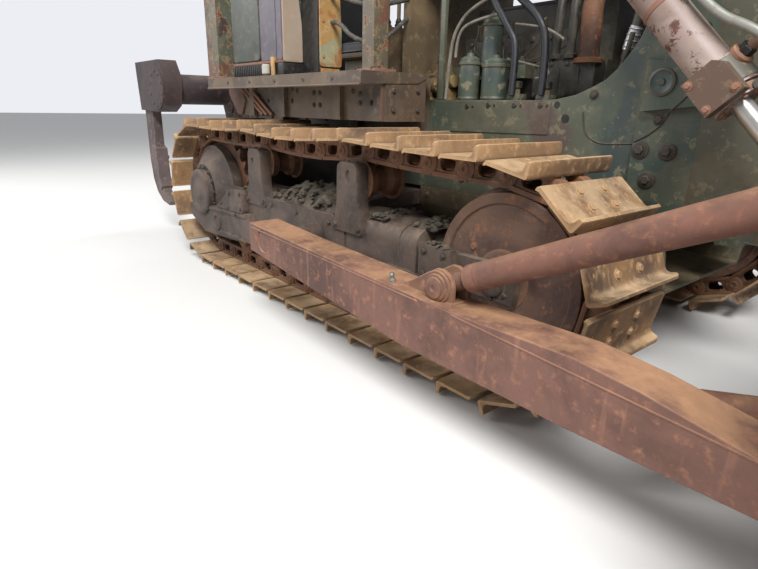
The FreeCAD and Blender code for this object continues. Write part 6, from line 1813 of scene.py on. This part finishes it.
def engine_left():
    """Starter, cover bolts and oil filler on the engine's far side."""
    shape = Shape()
    shape.add(1, rod("X", (1.7, 0.33, 0.98), 0.062, 0.25, 32, 0.008),
        rod("X", (1.7, 0.33, 1.058), 0.03, 0.15, 24, 0.005))
    shape.add(0, block((1.64, 0.258, 0.94), (1.76, 0.29, 1.02), 0.004))
    for index in range(6):
        x = 1.62 + index * 0.158
        if index > 1:
            shape.add(0, panel(x, x + 0.13, 0.9, 1.18, 0.02, 0.2602, 0.27, 0.003))
        for z in (1.24, 1.3):
            shape.add(0, bolt("Y", (x + 0.065, 0.26, z), 0.012, 0.01))
    shape.add(0, rod("Z", (2.33, 0.215, 1.44), 0.028, 0.12, 20, 0.004))
    shape.add(1,
        lathe([(0.036, 0), (0.036, 0.018), (0.028, 0.024), (0, 0.024)], "Z", (2.33, 0.215, 1.498),
            24))
    return piece("engine_left_detail", shape, "tractor", [ENGINE, PUMP], 38)


ripper_fasteners()
blade_face()
canopy_detail()
hood_detail()
stack_detail()
nose_detail()
rear_detail()
engine_left()


# --- camera, floor and light


VIEWPOINT, LENS = (2.60017, -2.66, 1.123), 25.82
LOOKING, LEVEL = (-0.7307, 0.6081, -0.3102), (0.6349, 0.7723, 0.0185)


def aim():
    """The photograph's viewpoint, fitted to the track chain's pitch."""
    camera = bpy.data.cameras.new("camera")
    camera.sensor_width = 36.0
    camera.lens = LENS
    camera.clip_start = 0.05
    view = bpy.data.objects.new("camera", camera)
    bpy.context.scene.collection.objects.link(view)
    forward = Vector(LOOKING).normalized()
    right = Vector(LEVEL)
    right = (right - forward * right.dot(forward)).normalized()
    up = right.cross(forward)
    turn = Matrix((right, up, -forward)).transposed().to_4x4()
    view.matrix_world = Matrix.Translation(VIEWPOINT) @ turn
    bpy.context.scene.camera = view


FLOOR = 60


def floor():
    """A plain pale floor that reaches well past the view."""
    mesh = bpy.data.meshes.new("floor")
    mesh.from_pydata(
        [(-FLOOR, -FLOOR, 0), (FLOOR, -FLOOR, 0), (FLOOR, FLOOR, 0), (-FLOOR, FLOOR, 0)], [],
        [(0, 1, 2, 3)])
    f = Finish("pale_floor")
    grain = f.noise(3, 3, 0.5)
    mesh.materials.append(f.done(f.share(rgb("d3d2cf"), grain, 0.3, "c9c8c5"), 0.9))
    ground = bpy.data.objects.new("floor", mesh)
    bpy.context.scene.collection.objects.link(ground)


def lamp(name, place, target, size, power):
    light = bpy.data.lights.new(name, "AREA")
    light.shape = "DISK"
    light.size = size
    light.energy = power
    thing = bpy.data.objects.new(name, light)
    thing.location = place
    thing.rotation_euler = (Vector(target) - Vector(place)).to_track_quat("-Z", "Y").to_euler()
    bpy.context.scene.collection.objects.link(thing)


def sky():
    world = bpy.data.worlds.new("studio")
    world.use_nodes = True
    bpy.context.scene.world = world
    tree = world.node_tree
    back = tree.nodes["Background"]
    paths = tree.nodes.new("ShaderNodeLightPath")
    seen = tree.nodes.new("ShaderNodeMix")
    seen.inputs[2].default_value = 0.55
    seen.inputs[3].default_value = 0.9
    tree.links.new(paths.outputs["Is Camera Ray"], seen.inputs[0])
    tree.links.new(seen.outputs[0], back.inputs["Strength"])
    back.inputs["Color"].default_value = (0.93, 0.95, 1.0, 1)


aim()
floor()
sky()
lamp("key", (5.5, -5.0, 7.5), (0.3, -0.6, 0.6), 4.0, 1300)
lamp("fill", (-6.5, -6.0, 5.0), (0, 0, 0.8), 5.0, 450)
lamp("back", (-3.5, 7.0, 7.0), (0, 0, 1.0), 5.0, 500)

bpy.context.scene.view_settings.view_transform = "Standard"
